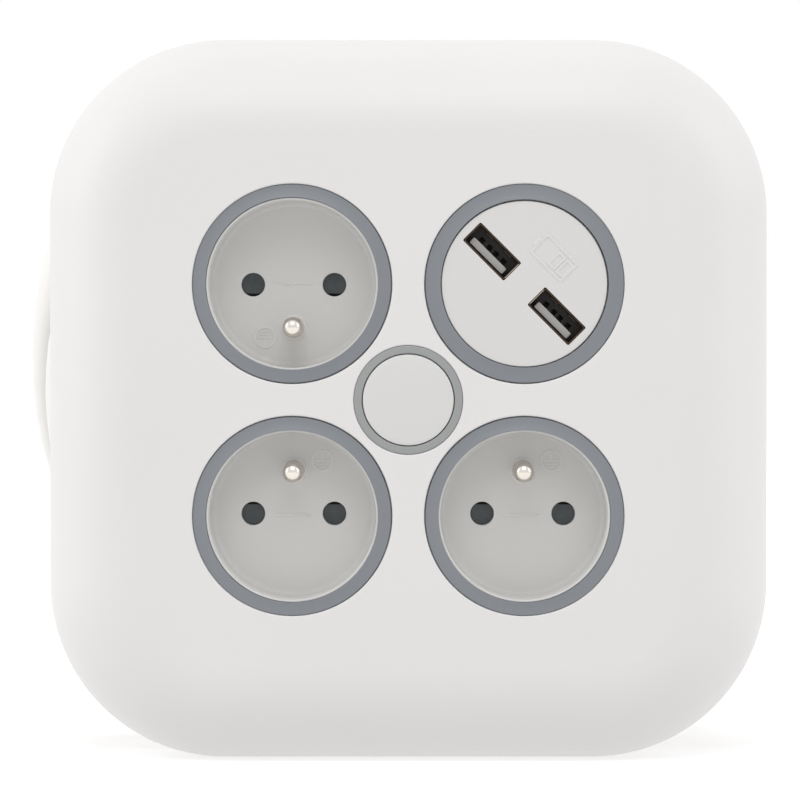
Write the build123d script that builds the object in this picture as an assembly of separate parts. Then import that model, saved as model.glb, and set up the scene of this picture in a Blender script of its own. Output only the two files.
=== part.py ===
from build123d import *
from math import cos, pi, radians, sin, tan
import os

# A household cable reel in millimetres. It stands on the flat lower edges of its two housings.
# The pieces are drawn about the reel's axis: X to the right, Y back from the face, Z up.
# They are set down on the floor, with the middle of the depth at Y = 0, when they are written.

# Front and rear housings
HOUSING_SIDE = 168.5
HOUSING_CORNER = 41.0
WALL = 2.5
COVER_DEPTH = 40.0
FACE_ROUNDING = 22.0
GROOVE_WIDTH = 38.0
REAR_DEPTH = 16.0
REAR_ROUNDING = 6.0
SEAM = 0.15

# Socket layout on the face
SOCKET_OFFSET = 26.75
RING_RADIUS = 23.0
RING_BORE = 19.55
RING_CROWN = 0.45
RING_GAP = 0.3
CUP_RADIUS = 19.0
CUP_RIM = 19.4
CUP_DEPTH = 15.0
CUP_FLOOR = 2.0
CUP_WALL = 1.8
FLANGE_RADIUS = 24.2
FLANGE_THICKNESS = 2.0
RIM_DROP = 0.3
CUP_CORNER = 1.2

# Pin layout of a two-pole socket with a standing earth pin
PIN_SPACING = 19.0
PIN_HOLE_RADIUS = 2.75
EARTH_OFFSET = 10.0
EARTH_PIN_RADIUS = 2.4
EARTH_PIN_LENGTH = 14.0
EARTH_TAIL_RADIUS = 2.0
EARTH_STEP = 0.2
EARTH_COLLAR = 1.2
PRESS_GAP = 0.05

# Safety shutters
SHUTTER_THICKNESS = 2.8
SHUTTER_TRAVEL = 6.0
SHUTTER_COVER = 3.4
SHUTTER_LOBE = 8.0
SHUTTER_GAP = 0.15
SHUTTER_RAMP = 1.2
SHUTTER_MARGIN = 1.2
SPRING_BOW = 2.2
RAIL_WIDTH = 1.2
SPRING_THICKNESS = 0.35
SPRING_WIDTH = 2.2

# Contact carrier and busbars
CARRIER_SIDE = 116.0
CARRIER_CORNER = 12.0
CARRIER_THICKNESS = 2.0
CARRIER_SCREW = 50.0
CELL_WALL = 1.2
BUSBAR_THICKNESS = 0.8
BUSBAR_WIDTH = 5.0
EARTH_LEVEL = 30.0
POLE_LEVEL = 34.7
LEAF_WIDTH = 5.5
LEAF_THICKNESS = 0.6
LEAF_SPREAD = 3.1
LEAF_PINCH = 2.1
LEAF_MOUTH = 0.4
LEAF_THROAT = 3.0
LEAF_GAP = 0.3
CONVERTER_GAP = 1.0
LIVE_TRACK = 7.5
NEUTRAL_TRACK = 7.5
LIVE_RISER = 50.5
NEUTRAL_RISER = 12.2
EARTH_TRACK = 12.5

# USB module
USB_DISC_RADIUS = 19.1
USB_DISC_THICKNESS = 2.0
USB_DISC_DROP = 0.1
USB_PORT_OFFSET = 10.53
USB_TILT = 45.0
USB_SHELL = (13.1, 5.6)
USB_SHELL_WALL = 0.3
USB_SHELL_DEPTH = 14.0
USB_SHELL_DROP = 0.35
USB_SLOT_GAP = 0.12
USB_TONGUE = (10.6, 1.75)
USB_TONGUE_OFFSET = 1.3
USB_TONGUE_DROP = 2.2
USB_BODY_DEPTH = 7.5
BOARD_SIDE = 30.0
BOARD_THICKNESS = 1.6
CONVERTER = (22.0, 18.0, 12.0)
POST_RADIUS = 2.0
POST_INSET = 1.5

# Reset button and thermal cut-out
BUTTON_RADIUS = 10.4
BUTTON_PROUD = 0.6
BUTTON_TRAVEL = 2.0
BUTTON_SKIN = 1.8
BUTTON_LIP = 0.8
BUTTON_LIP_DEPTH = 1.0
BUTTON_STEM_RADIUS = 3.0
BUTTON_RING_BORE = 10.7
BUTTON_RING_RADIUS = 12.55
BUTTON_RING_DEPTH = 5.0
BUTTON_RING_BARB = 1.2
CUTOUT_SIDE = 15.0
CUTOUT_FRONT = 11.5
CUTOUT_BACK = 33.0
CUTOUT_NECK_RADIUS = 5.0
CUTOUT_NECK = 2.8
CUTOUT_FLANGE = 2.0
CUTOUT_FLANGE_DEPTH = 1.2
CUTOUT_SOCKET_GAP = 0.3
CUTOUT_SPARE = 0.6
TERMINAL_SPACING = 8.0
TERMINAL_LENGTH = 3.0
TERMINAL_THICKNESS = 1.0

# Drum, screws and screw posts
DRUM_RADIUS = 50.0
DRUM_WALL = 2.5
DRUM_POST_RADIUS = 3.6
DRUM_POST_SPACE = 6.5
DRUM_RIB = 3.0
CORNER_POST_SPACE = 11.0
SIDE_POST_SPACE = 9.0
SCREW_RADIUS = 1.6
SCREW_HEAD_RADIUS = 3.0
SCREW_HEAD = 2.0
SCREW_LENGTH = 14.0
SCREW_GAP = 0.05
WIRE_OPENING = 22.0
POST_ROOT = 0.3
OVERSHOOT = 1.0
WELL_RADIUS = 3.8
WELL_WALL = 1.5

# Rear recess, axle and hand grip
RECESS_RADIUS = 38.0
RECESS_DEPTH = 10.0
BOSS_RADIUS = 10.0
BOSS_FRONT = 66.0
AXLE_RADIUS = 6.0
RUNNING_GAP = 0.05
GRIP_RADIUS = 36.5
GRIP_WALL = 2.5
GRIP_FLOOR = 3.0
GRIP_LIFT = 0.6
GRIP_HEIGHT = 20.0
GRIP_BAR = 14.0
GRIP_BAR_ROUNDING = 3.0
GRIP_BAR_DROP = 1.5
GRIP_HUB_RADIUS = 13.0
GRIP_HUB_DEPTH = 7.5
WASHER_RADIUS = 9.5
WASHER_THICKNESS = 1.5
WASHER_GAP = 0.1
CAP_RADIUS = 10.3
CAP_THICKNESS = 2.0
CAP_GAP = 0.1
CAP_EDGE = 0.6
CAP_SKIRT_GAP = 0.3
AXLE_SCREW_RADIUS = 2.0
AXLE_SCREW_LENGTH = 12.0
AXLE_HEAD_RADIUS = 4.5
AXLE_HEAD = 3.0

# Cable, its winding and its free end
CABLE_RADIUS = 4.5
LANES = 4
LANE_GAP = 0.4
WINDING_GAP = 0.3
LOOSE_TURNS = ((76.2, -3.4), (78.35, -5.25), (78.95, -5.55), (80.5, -7.6))
LOOSE_HEIGHT = 2.0
TAIL_STEP_RADIUS = 74.0
TAIL_START = -1.0
NOTCH_LENGTH = 60.0
NOTCH_DEPTH = 7.0
NOTCH_CORNER = 12.0
ARC_SHARE = 0.45

# Plug, parked with its axis along X below the hand grip
PLUG_RADIUS = 18.5
PLUG_EDGE_SPACE = 22.25
PLUG_AXIS_DEPTH = 100.8
PLUG_START = -12.0
PLUG_RELIEF = 28.0
PLUG_NECK_RADIUS = 9.0
PLUG_NECK = 22.0
PLUG_HEAD = 18.0
PLUG_PIN_RADIUS = 2.4
PLUG_PIN_LENGTH = 19.0
PLUG_PIN_ROOT = 10.0
PLUG_EDGE = 2.0
PLUG_SHOULDER = 4.0
PLUG_RELIEF_WALL = 1.0
PLUG_EARTH_DEPTH = 16.0
PLUG_EARTH_GAP = 0.35
STRAP_LENGTH = 13.0
STRAP_WIDTH = 4.0
STRAP_THICKNESS = 3.2
STRAP_DROP = 0.3
PARK_GAP = 0.5
CLIP_WIDTH = 8.0
CLIP_THICKNESS = 2.2
CLIP_REACH = 3.8
CLIP_INSET = 3.0

# Where the cable comes in through the drum, slanted the way that it is wound
GLAND_ANGLE = -50.0
GLAND_SLANT = 30.0
GLAND_BORE_GAP = 0.1
GLAND_WALL = 1.6
GLAND_FLANGE = 2.0
GLAND_FLANGE_LIP = 0.5
GLAND_INSIDE = 6.5
LEAD_LENGTH = 26.0
CLAMP_PLACE = 20.0
CLAMP_LENGTH = 6.0
CLAMP_EAR = 9.5
CLAMP_EAR_END = 3.2
CLAMP_WALL = 1.8
WIRE_RADIUS = 1.3
WIRE_SPREAD = 2.8
WIRE_RUN = 10.0
WIRE_STAGGER = 1.5
WIRE_DROP = 8.0

DRUM_POST_CIRCLE = RECESS_RADIUS + DRUM_POST_SPACE
POST_CORNER = CARRIER_SCREW + CORNER_POST_SPACE
POST_SIDE = CARRIER_SIDE / 2 + SIDE_POST_SPACE
PLUG_AXIS_HEIGHT = PLUG_EDGE_SPACE - HOUSING_SIDE / 2
GROOVE_END = COVER_DEPTH + GROOVE_WIDTH
BACK = GROOVE_END + REAR_DEPTH
RECESS_FLOOR = BACK - RECESS_DEPTH
GRIP_FRONT = RECESS_FLOOR + GRIP_LIFT
GRIP_BACK = GRIP_FRONT + GRIP_HEIGHT
CUP_BACK = CUP_DEPTH + CUP_FLOOR
CARRIER_FRONT = CUP_BACK + SHUTTER_THICKNESS + 2 * SHUTTER_GAP
CARRIER_BACK = CARRIER_FRONT + CARRIER_THICKNESS
PLATE_FRONT = COVER_DEPTH - WALL
LANE_PITCH = (GROOVE_WIDTH - 2 * LANE_GAP) / LANES
LANE_DEPTHS = [COVER_DEPTH + LANE_GAP + LANE_PITCH * (lane + 0.5) for lane in range(LANES)]
LAST_LANE = LANE_DEPTHS[-1]
GRIP_SHOULDER = GRIP_FRONT + GRIP_HUB_DEPTH
LIVE_END = (TERMINAL_SPACING / 2, 0)
NEUTRAL_END = (-NEUTRAL_RISER, 0)
EARTH_END = (NEUTRAL_RISER, -EARTH_TRACK)
PLUG_HEAD_START = PLUG_START + PLUG_RELIEF + PLUG_NECK
PLUG_FACE = PLUG_HEAD_START + PLUG_HEAD

# Each socket: name, centre, and +1 with the earth pin above or -1 with it below
SOCKETS = {
    "upper_left": (-SOCKET_OFFSET, SOCKET_OFFSET, -1),
    "lower_left": (-SOCKET_OFFSET, -SOCKET_OFFSET, 1),
    "lower_right": (SOCKET_OFFSET, -SOCKET_OFFSET, 1),
}
USB_CENTRE = (SOCKET_OFFSET, SOCKET_OFFSET)
RING_CENTRES = [(x, z) for x, z, _ in SOCKETS.values()] + [USB_CENTRE]
COVER_POSTS = [(sx * POST_CORNER, sz * POST_CORNER) for sx in (-1, 1) for sz in (-1, 1)]
COVER_POSTS += [(POST_SIDE, 0), (-POST_SIDE, 0), (0, POST_SIDE), (0, -POST_SIDE)]
CARRIER_POSTS = [(sx * CARRIER_SCREW, sz * CARRIER_SCREW) for sx in (-1, 1) for sz in (-1, 1)]
DRUM_POSTS = [(DRUM_POST_CIRCLE, 0), (-DRUM_POST_CIRCLE, 0), (0, DRUM_POST_CIRCLE), (0, -DRUM_POST_CIRCLE)]


def prism(sketch, front, back):
    """A sketch facing the viewer, carried from one depth back to another."""
    return extrude(Plane.XZ.offset(-front) * sketch, amount=back - front, dir=(0, 1, 0))


def rod(radius, front, back, centre=(0, 0)):
    """A round bar along the depth."""
    return prism(Pos(*centre) * Circle(radius), front, back)


def turned(points, centre=(0, 0)):
    """A turned piece from its half section, given as radius and depth."""
    half = make_face(Polyline(*points, close=True))
    return Pos(centre[0], 0, centre[1]) * revolve(half, Axis.Y)


def block(width, height, front, back, centre=(0, 0)):
    """A plain block, given by its width, height and two depths."""
    return prism(Pos(*centre) * Rectangle(width, height), front, back)


def joined(pieces):
    """All the pieces fused into one."""
    whole = pieces[0]
    for piece in pieces[1:]:
        whole += piece
    return whole


def screw(head_front, direction, centre=(0, 0), countersunk=False):
    """A screw along the depth: its head starts at head_front and its shank runs on in direction."""
    under = head_front + direction * SCREW_HEAD
    tip = under + direction * SCREW_LENGTH
    top = SCREW_HEAD_RADIUS
    shoulder = SCREW_RADIUS if countersunk else SCREW_HEAD_RADIUS
    points = [(0, head_front), (top, head_front), (shoulder, under), (SCREW_RADIUS, under)]
    if countersunk:
        points.pop()
    points += [(SCREW_RADIUS, tip - direction * SCREW_RADIUS), (0, tip)]
    return turned(points, centre)


def front_cover():
    outer = prism(RectangleRounded(HOUSING_SIDE, HOUSING_SIDE, HOUSING_CORNER), 0, COVER_DEPTH)
    outer = fillet(outer.edges().group_by(Axis.Y)[0], FACE_ROUNDING)
    inside = HOUSING_SIDE - 2 * WALL
    inner = prism(RectangleRounded(inside, inside, HOUSING_CORNER - WALL), WALL, COVER_DEPTH)
    inner = fillet(inner.edges().group_by(Axis.Y)[0], FACE_ROUNDING - WALL)
    cover = outer - inner
    for centre in COVER_POSTS:
        cover += rod(DRUM_POST_RADIUS, WALL - POST_ROOT, PLATE_FRONT, centre)
        cover -= rod(SCREW_RADIUS + SCREW_GAP, PLATE_FRONT - SCREW_LENGTH, PLATE_FRONT, centre)
    for centre in CARRIER_POSTS:
        cover += rod(DRUM_POST_RADIUS, WALL - POST_ROOT, CARRIER_FRONT, centre)
        cover -= rod(SCREW_RADIUS + SCREW_GAP, CARRIER_FRONT - SCREW_LENGTH, CARRIER_FRONT, centre)
    for centre in RING_CENTRES:
        cover -= rod(RING_RADIUS + RING_GAP, -OVERSHOOT, WALL + OVERSHOOT, centre)
    cover -= rod(BUTTON_RING_RADIUS + PRESS_GAP, -OVERSHOOT, WALL + OVERSHOOT)
    return cover


def socket_ring(centre):
    """A trim ring with a crowned face, seated on the flange of its cup."""
    middle = (RING_RADIUS + RING_BORE) / 2
    crown = ThreePointArc((RING_BORE, RING_CROWN), (middle, 0), (RING_RADIUS, RING_CROWN))
    corners = [(RING_RADIUS, RING_CROWN), (RING_RADIUS, WALL), (RING_BORE, WALL), (RING_BORE, RING_CROWN)]
    back = Polyline(*corners)
    return Pos(centre[0], 0, centre[1]) * revolve(make_face(crown + back), Axis.Y)


def socket_cup(centre, upright):
    outside = CUP_RADIUS + CUP_WALL
    flange_back = WALL + FLANGE_THICKNESS
    cup = turned(
        [
            (0, CUP_BACK),
            (0, CUP_DEPTH),
            (CUP_RADIUS - CUP_CORNER, CUP_DEPTH),
            (CUP_RADIUS, CUP_DEPTH - CUP_CORNER),
            (CUP_RADIUS, RIM_DROP),
            (CUP_RIM, RIM_DROP),
            (CUP_RIM, WALL),
            (FLANGE_RADIUS, WALL),
            (FLANGE_RADIUS, flange_back),
            (outside, flange_back),
            (outside, CUP_BACK),
        ],
        centre,
    )
    x, z = centre
    for side in (-1, 1):
        cup -= rod(PIN_HOLE_RADIUS, CUP_DEPTH - 1, CUP_BACK + 1, (x + side * PIN_SPACING / 2, z))
    earth = (x, z + upright * EARTH_OFFSET)
    return cup - rod(EARTH_PIN_RADIUS - EARTH_STEP + PRESS_GAP, CUP_DEPTH - 1, CUP_BACK + 1, earth)


def earth_pin(centre, upright):
    """A turned pin with a domed tip, a shoulder behind the cup's floor and a tail in the earth strip."""
    tip = CUP_DEPTH - EARTH_PIN_LENGTH
    radius = EARTH_PIN_RADIUS
    collar = radius + EARTH_COLLAR
    half_way = (radius * sin(pi / 4), tip + radius * (1 - cos(pi / 4)))
    dome = ThreePointArc((0, tip), half_way, (radius, tip + radius))
    sides = Polyline(
        (radius, tip + radius),
        (radius, CUP_DEPTH),
        (radius - EARTH_STEP, CUP_DEPTH),
        (radius - EARTH_STEP, CUP_BACK + SHUTTER_GAP),
        (collar, CUP_BACK + SHUTTER_GAP),
        (collar, CARRIER_FRONT - SHUTTER_GAP),
        (EARTH_TAIL_RADIUS, CARRIER_FRONT - SHUTTER_GAP),
        (EARTH_TAIL_RADIUS, EARTH_LEVEL + BUSBAR_THICKNESS),
        (0, EARTH_LEVEL + BUSBAR_THICKNESS),
        (0, tip),
    )
    pin = revolve(make_face(dome + sides), Axis.Y)
    return Pos(centre[0], 0, centre[1] + upright * EARTH_OFFSET) * pin


def shutter(centre, upright):
    """A plate over both pin holes, with a ramp at each lobe that a pair of pins pushes aside."""
    front = CUP_BACK + SHUTTER_GAP
    lobe_height = SHUTTER_TRAVEL + PIN_HOLE_RADIUS + SHUTTER_MARGIN
    bridge = Rectangle(PIN_SPACING + SHUTTER_LOBE, 2 * SHUTTER_COVER)
    lobes = [
        Pos(side * PIN_SPACING / 2, upright * lobe_height / 2) * Rectangle(SHUTTER_LOBE, lobe_height)
        for side in (-1, 1)
    ]
    windows = [
        Pos(side * PIN_SPACING / 2, upright * SHUTTER_TRAVEL) * Circle(PIN_HOLE_RADIUS) for side in (-1, 1)
    ]
    plate = prism(Pos(*centre) * (joined([bridge] + lobes) - windows), front, front + SHUTTER_THICKNESS)
    x, z = centre
    edge = z + upright * (SHUTTER_TRAVEL - PIN_HOLE_RADIUS)
    for side in (-1, 1):
        ramp = Polyline((front, 0), (front + SHUTTER_RAMP, 0), (front, -upright * SHUTTER_RAMP), close=True)
        cutter = extrude(Plane.YZ * Pos(0, edge) * make_face(ramp), amount=PIN_HOLE_RADIUS, both=True)
        plate -= Pos(x + side * PIN_SPACING / 2, 0, 0) * cutter
    return plate


def shutter_seat(upright):
    """Height of the wall that a shutter's spring leans on, from the socket's centre."""
    return -upright * (SHUTTER_COVER + SHUTTER_TRAVEL + SPRING_BOW)


def shutter_spring(centre, upright):
    """A bowed leaf between the carrier's wall and the shutter."""
    seat = shutter_seat(upright) + upright * PRESS_GAP
    tip = -upright * (SHUTTER_COVER + PRESS_GAP)
    half = PIN_SPACING / 2
    inner = tip - upright * SPRING_THICKNESS
    raised = seat + upright * SPRING_THICKNESS
    outer_arc = ThreePointArc((-half, raised), (0, tip), (half, raised))
    inner_arc = ThreePointArc((-half, seat), (0, inner), (half, seat))
    ends = [Line((side * half, seat), (side * half, raised)) for side in (-1, 1)]
    leaf = make_face([outer_arc, inner_arc] + ends)
    middle = (CUP_BACK + CARRIER_FRONT) / 2
    return prism(Pos(*centre) * leaf, middle - SPRING_WIDTH / 2, middle + SPRING_WIDTH / 2)


def poles(side):
    """Centres of one pole's contacts: side +1 is to the right of an upright socket."""
    return [(x + side * upright * PIN_SPACING / 2, z) for x, z, upright in SOCKETS.values()]


def contact_carrier():
    """A moulded plate with a cell for each contact, a tube for each earth pin and the shutters' guides."""
    plate = prism(RectangleRounded(CARRIER_SIDE, CARRIER_SIDE, CARRIER_CORNER), CARRIER_FRONT, CARRIER_BACK)
    cell = 2 * (LEAF_SPREAD + LEAF_THICKNESS + LEAF_GAP)
    outside = cell + 2 * CELL_WALL
    cell_end = POLE_LEVEL - SHUTTER_GAP
    for centre in poles(1) + poles(-1):
        plate += block(outside, outside, CARRIER_BACK, cell_end, centre)
    for centre in poles(1) + poles(-1):
        plate -= block(cell, cell, CARRIER_FRONT - 1, cell_end + 1, centre)
    tube = EARTH_TAIL_RADIUS + SCREW_GAP
    for x, z, upright in SOCKETS.values():
        earth = (x, z + upright * EARTH_OFFSET)
        plate += rod(tube + CELL_WALL, CARRIER_BACK, EARTH_LEVEL - SHUTTER_GAP, earth)
        plate -= rod(tube, CARRIER_FRONT - 1, EARTH_LEVEL, earth)
        rail_height = abs(shutter_seat(upright)) + SHUTTER_TRAVEL + PIN_HOLE_RADIUS
        rail_x = (PIN_SPACING + SHUTTER_LOBE) / 2 + SHUTTER_GAP + RAIL_WIDTH / 2
        rail_z = z + shutter_seat(upright) + upright * rail_height / 2
        for side in (-1, 1):
            rail = (x + side * rail_x, rail_z)
            plate += block(RAIL_WIDTH, rail_height, CUP_BACK + SHUTTER_GAP, CARRIER_FRONT, rail)
        wall = (x, z + shutter_seat(upright) - upright * RAIL_WIDTH / 2)
        plate += block(2 * rail_x + RAIL_WIDTH, RAIL_WIDTH, CUP_BACK + SHUTTER_GAP, CARRIER_FRONT, wall)
    for centre in CARRIER_POSTS:
        plate -= rod(SCREW_RADIUS + SCREW_GAP, CARRIER_FRONT - 1, CARRIER_BACK + 1, centre)
    window = CUTOUT_SIDE + 2 * SHUTTER_GAP
    plate -= block(window, window, CARRIER_FRONT - 1, CARRIER_BACK + 1)
    width, height, _ = CONVERTER
    room = 2 * CONVERTER_GAP
    return plate - block(width + room, height + room, CARRIER_FRONT - 1, CARRIER_BACK + 1, USB_CENTRE)


def contact_leaves(centre):
    """Two bent spring leaves that grip a pin from above and below."""
    root = POLE_LEVEL + BUSBAR_THICKNESS
    throat = CARRIER_BACK + LEAF_THROAT
    mouth = CARRIER_BACK + LEAF_MOUTH
    leaves = []
    for side in (-1, 1):
        inner = [(root, LEAF_SPREAD), (throat, LEAF_PINCH), (mouth, LEAF_SPREAD)]
        outer = [(depth, height + LEAF_THICKNESS) for depth, height in reversed(inner)]
        outline = [(depth, side * height) for depth, height in inner + outer]
        section = make_face(Polyline(*outline, close=True))
        leaf = extrude(Plane.YZ * section, amount=LEAF_WIDTH / 2, both=True)
        leaves.append(Pos(centre[0], 0, centre[1]) * leaf)
    return leaves


def strip(start, end, level):
    """A flat run of busbar between two points, with square ends half its width beyond them."""
    width = abs(end[0] - start[0]) + BUSBAR_WIDTH
    height = abs(end[1] - start[1]) + BUSBAR_WIDTH
    middle = ((start[0] + end[0]) / 2, (start[1] + end[1]) / 2)
    return block(width, height, level, level + BUSBAR_THICKNESS, middle)


def contact_pad(centre):
    """The busbar's square under one pair of leaves, with a hole for the pin's tip."""
    side = 2 * (LEAF_SPREAD + LEAF_THICKNESS)
    return block(LEAF_WIDTH, side, POLE_LEVEL, POLE_LEVEL + BUSBAR_THICKNESS, centre)


def pole_busbar(contacts, runs):
    pads = [contact_pad(centre) for centre in contacts]
    bar = joined([strip(start, end, POLE_LEVEL) for start, end in runs] + pads)
    for centre in contacts:
        bar -= rod(PLUG_PIN_RADIUS + LEAF_GAP, POLE_LEVEL - 1, POLE_LEVEL + BUSBAR_THICKNESS + 1, centre)
        for leaf in contact_leaves(centre):
            bar += leaf
    return bar


def live_busbar():
    upper, left, right = poles(1)
    track = left[1] - LIVE_TRACK
    runs = [
        ((-LIVE_RISER, track), (right[0], track)),
        ((left[0], track), left),
        ((right[0], track), right),
        ((-LIVE_RISER, track), (-LIVE_RISER, upper[1])),
        ((-LIVE_RISER, upper[1]), upper),
    ]
    return pole_busbar(poles(1), runs)


def neutral_busbar():
    upper, left, right = poles(-1)
    track = left[1] + NEUTRAL_TRACK
    runs = [
        ((left[0], track), (right[0], track)),
        ((left[0], track), left),
        ((right[0], track), right),
        ((-NEUTRAL_RISER, track), (-NEUTRAL_RISER, upper[1])),
        ((-NEUTRAL_RISER, upper[1]), upper),
    ]
    return pole_busbar(poles(-1), runs)


def earth_busbar():
    pins = [(x, z + upright * EARTH_OFFSET) for x, z, upright in SOCKETS.values()]
    upper, left, right = pins
    runs = [
        ((left[0], -EARTH_TRACK), (right[0], -EARTH_TRACK)),
        ((left[0], -EARTH_TRACK), upper),
        ((left[0], -EARTH_TRACK), left),
        ((right[0], -EARTH_TRACK), right),
    ]
    bar = joined([strip(start, end, EARTH_LEVEL) for start, end in runs])
    for pin in pins:
        bar -= rod(EARTH_TAIL_RADIUS + SCREW_GAP, EARTH_LEVEL - 1, EARTH_LEVEL + BUSBAR_THICKNESS + 1, pin)
    return bar


def at_port(sketch, side, shift=0.0):
    """A sketch placed on one of the two ports, which stand on the module's diagonal."""
    along = side * USB_PORT_OFFSET
    x = USB_CENTRE[0] + along * cos(radians(USB_TILT)) - shift * sin(radians(USB_TILT))
    z = USB_CENTRE[1] - along * sin(radians(USB_TILT)) - shift * cos(radians(USB_TILT))
    return Pos(x, z) * Rot(0, 0, -USB_TILT) * sketch


def usb_insert():
    """The module's face with its two slots, its flange behind the cover, and posts for the board."""
    front = USB_DISC_DROP
    skin = front + USB_DISC_THICKNESS
    flange_back = WALL + FLANGE_THICKNESS
    hollow = USB_DISC_RADIUS - CUP_WALL
    insert = turned(
        [
            (0, front),
            (USB_DISC_RADIUS, front),
            (USB_DISC_RADIUS, WALL),
            (FLANGE_RADIUS, WALL),
            (FLANGE_RADIUS, flange_back),
            (hollow, flange_back),
            (hollow, skin),
            (0, skin),
        ],
        USB_CENTRE,
    )
    board_front = USB_SHELL_DROP + USB_SHELL_DEPTH
    for side in (-1, 1):
        reach = BOARD_SIDE / 2 - POST_RADIUS - POST_INSET
        post = (USB_CENTRE[0] + side * reach, USB_CENTRE[1] + side * reach)
        insert += rod(POST_RADIUS, skin - POST_ROOT, board_front, post)
        slot = Rectangle(USB_SHELL[0] + 2 * USB_SLOT_GAP, USB_SHELL[1] + 2 * USB_SLOT_GAP)
        insert -= prism(at_port(slot, side), -1, skin + 1)
    return insert


def usb_shell(side):
    """A folded metal can, open at the front, with the insulator's rear wall closing it."""
    back = USB_SHELL_DROP + USB_SHELL_DEPTH
    width, height = USB_SHELL
    hollow = Rectangle(width - 2 * USB_SHELL_WALL, height - 2 * USB_SHELL_WALL)
    return prism(at_port(Rectangle(width, height), side), USB_SHELL_DROP, back) - prism(
        at_port(hollow, side), USB_SHELL_DROP - 1, back + 1
    )


def usb_tongue(side):
    """The insulator: a block in the back of the can and the tongue that stands out of it."""
    back = USB_SHELL_DROP + USB_SHELL_DEPTH
    width, height = USB_SHELL
    fit = 2 * (USB_SHELL_WALL + PRESS_GAP)
    base = prism(at_port(Rectangle(width - fit, height - fit), side), USB_BODY_DEPTH, back)
    tongue = at_port(Rectangle(*USB_TONGUE), side, USB_TONGUE_OFFSET)
    return base + prism(tongue, USB_TONGUE_DROP, USB_BODY_DEPTH)


def usb_board():
    front = USB_SHELL_DROP + USB_SHELL_DEPTH
    return block(BOARD_SIDE, BOARD_SIDE, front, front + BOARD_THICKNESS, USB_CENTRE)


def usb_power_module():
    width, height, depth = CONVERTER
    front = USB_SHELL_DROP + USB_SHELL_DEPTH + BOARD_THICKNESS
    return block(width, height, front, front + depth, USB_CENTRE)


def button_ring():
    back = BUTTON_RING_DEPTH
    outer = BUTTON_RING_RADIUS
    return turned(
        [
            (BUTTON_RING_BORE, 0),
            (outer, 0),
            (outer, WALL),
            (outer + BUTTON_LIP, WALL),
            (outer + BUTTON_LIP, WALL + BUTTON_RING_BARB),
            (outer, WALL + BUTTON_RING_BARB),
            (outer, back),
            (BUTTON_RING_BORE, back),
        ]
    )


def reset_button():
    """A domed cap with a retaining lip behind the ring and a stem on to the cut-out's plunger."""
    lip_front = BUTTON_RING_DEPTH + WASHER_GAP
    lip_back = lip_front + BUTTON_LIP_DEPTH
    inner = BUTTON_RADIUS - BUTTON_SKIN
    stem_end = CUTOUT_FRONT - CUTOUT_NECK
    dome = ThreePointArc((-BUTTON_RADIUS, 0), (0, -BUTTON_PROUD), (BUTTON_RADIUS, 0))
    half_dome = split(dome, Plane.YZ, keep=Keep.TOP)
    sides = Polyline(
        (BUTTON_RADIUS, 0),
        (BUTTON_RADIUS, lip_front),
        (BUTTON_RADIUS + BUTTON_LIP, lip_front),
        (BUTTON_RADIUS + BUTTON_LIP, lip_back),
        (inner, lip_back),
        (inner, BUTTON_SKIN),
        (BUTTON_STEM_RADIUS, BUTTON_SKIN),
        (BUTTON_STEM_RADIUS, stem_end),
        (0, stem_end),
        (0, -BUTTON_PROUD),
    )
    return revolve(make_face(half_dome + sides), Axis.Y)


def thermal_cutout():
    """A sealed overload switch: a neck that takes the button's stem, a flange and two terminals."""
    neck_front = CUTOUT_FRONT - CUTOUT_NECK
    body = block(CUTOUT_SIDE, CUTOUT_SIDE, CUTOUT_FRONT, CUTOUT_BACK)
    body += rod(CUTOUT_NECK_RADIUS, neck_front + WASHER_GAP, CUTOUT_FRONT)
    flange = CUTOUT_SIDE + 2 * CUTOUT_FLANGE
    body += block(flange, flange, CARRIER_FRONT - CUTOUT_FLANGE_DEPTH, CARRIER_FRONT)
    stroke_end = neck_front + BUTTON_TRAVEL + CUTOUT_SPARE
    body -= rod(BUTTON_STEM_RADIUS + CUTOUT_SOCKET_GAP, neck_front - OVERSHOOT, stroke_end)
    for across in (-TERMINAL_SPACING / 2, TERMINAL_SPACING / 2):
        end = CUTOUT_BACK + TERMINAL_LENGTH
        body += block(TERMINAL_THICKNESS, LEAF_WIDTH, CUTOUT_BACK, end, (across, 0))
    return body


def base_plate():
    side = HOUSING_SIDE - 2 * WALL - 2 * SEAM
    plate = prism(RectangleRounded(side, side, HOUSING_CORNER - WALL - SEAM), PLATE_FRONT, COVER_DEPTH)
    for centre in COVER_POSTS:
        seat = [(0, PLATE_FRONT - 1), (SCREW_RADIUS + SCREW_GAP, PLATE_FRONT - 1)]
        seat += [(SCREW_RADIUS + SCREW_GAP, COVER_DEPTH - SCREW_HEAD - SCREW_GAP)]
        seat += [(SCREW_HEAD_RADIUS + 2 * SCREW_GAP, COVER_DEPTH), (0, COVER_DEPTH)]
        plate -= turned(seat, centre)
    for centre in DRUM_POSTS:
        plate -= rod(SCREW_RADIUS + SCREW_GAP, PLATE_FRONT - 1, COVER_DEPTH + 1, centre)
    return plate - rod(WIRE_OPENING, PLATE_FRONT - 1, COVER_DEPTH + 1)


def drum_rib(centre):
    """The rib that ties a screw post to the drum's wall."""
    wall = DRUM_RADIUS - DRUM_WALL / 2
    length = wall - DRUM_POST_CIRCLE
    share = (wall + DRUM_POST_CIRCLE) / 2 / DRUM_POST_CIRCLE
    along_x = abs(centre[0]) > 0
    width, height = (length, DRUM_RIB) if along_x else (DRUM_RIB, length)
    middle = (centre[0] * share, centre[1] * share)
    return block(width, height, COVER_DEPTH, GROOVE_END, middle)


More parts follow.
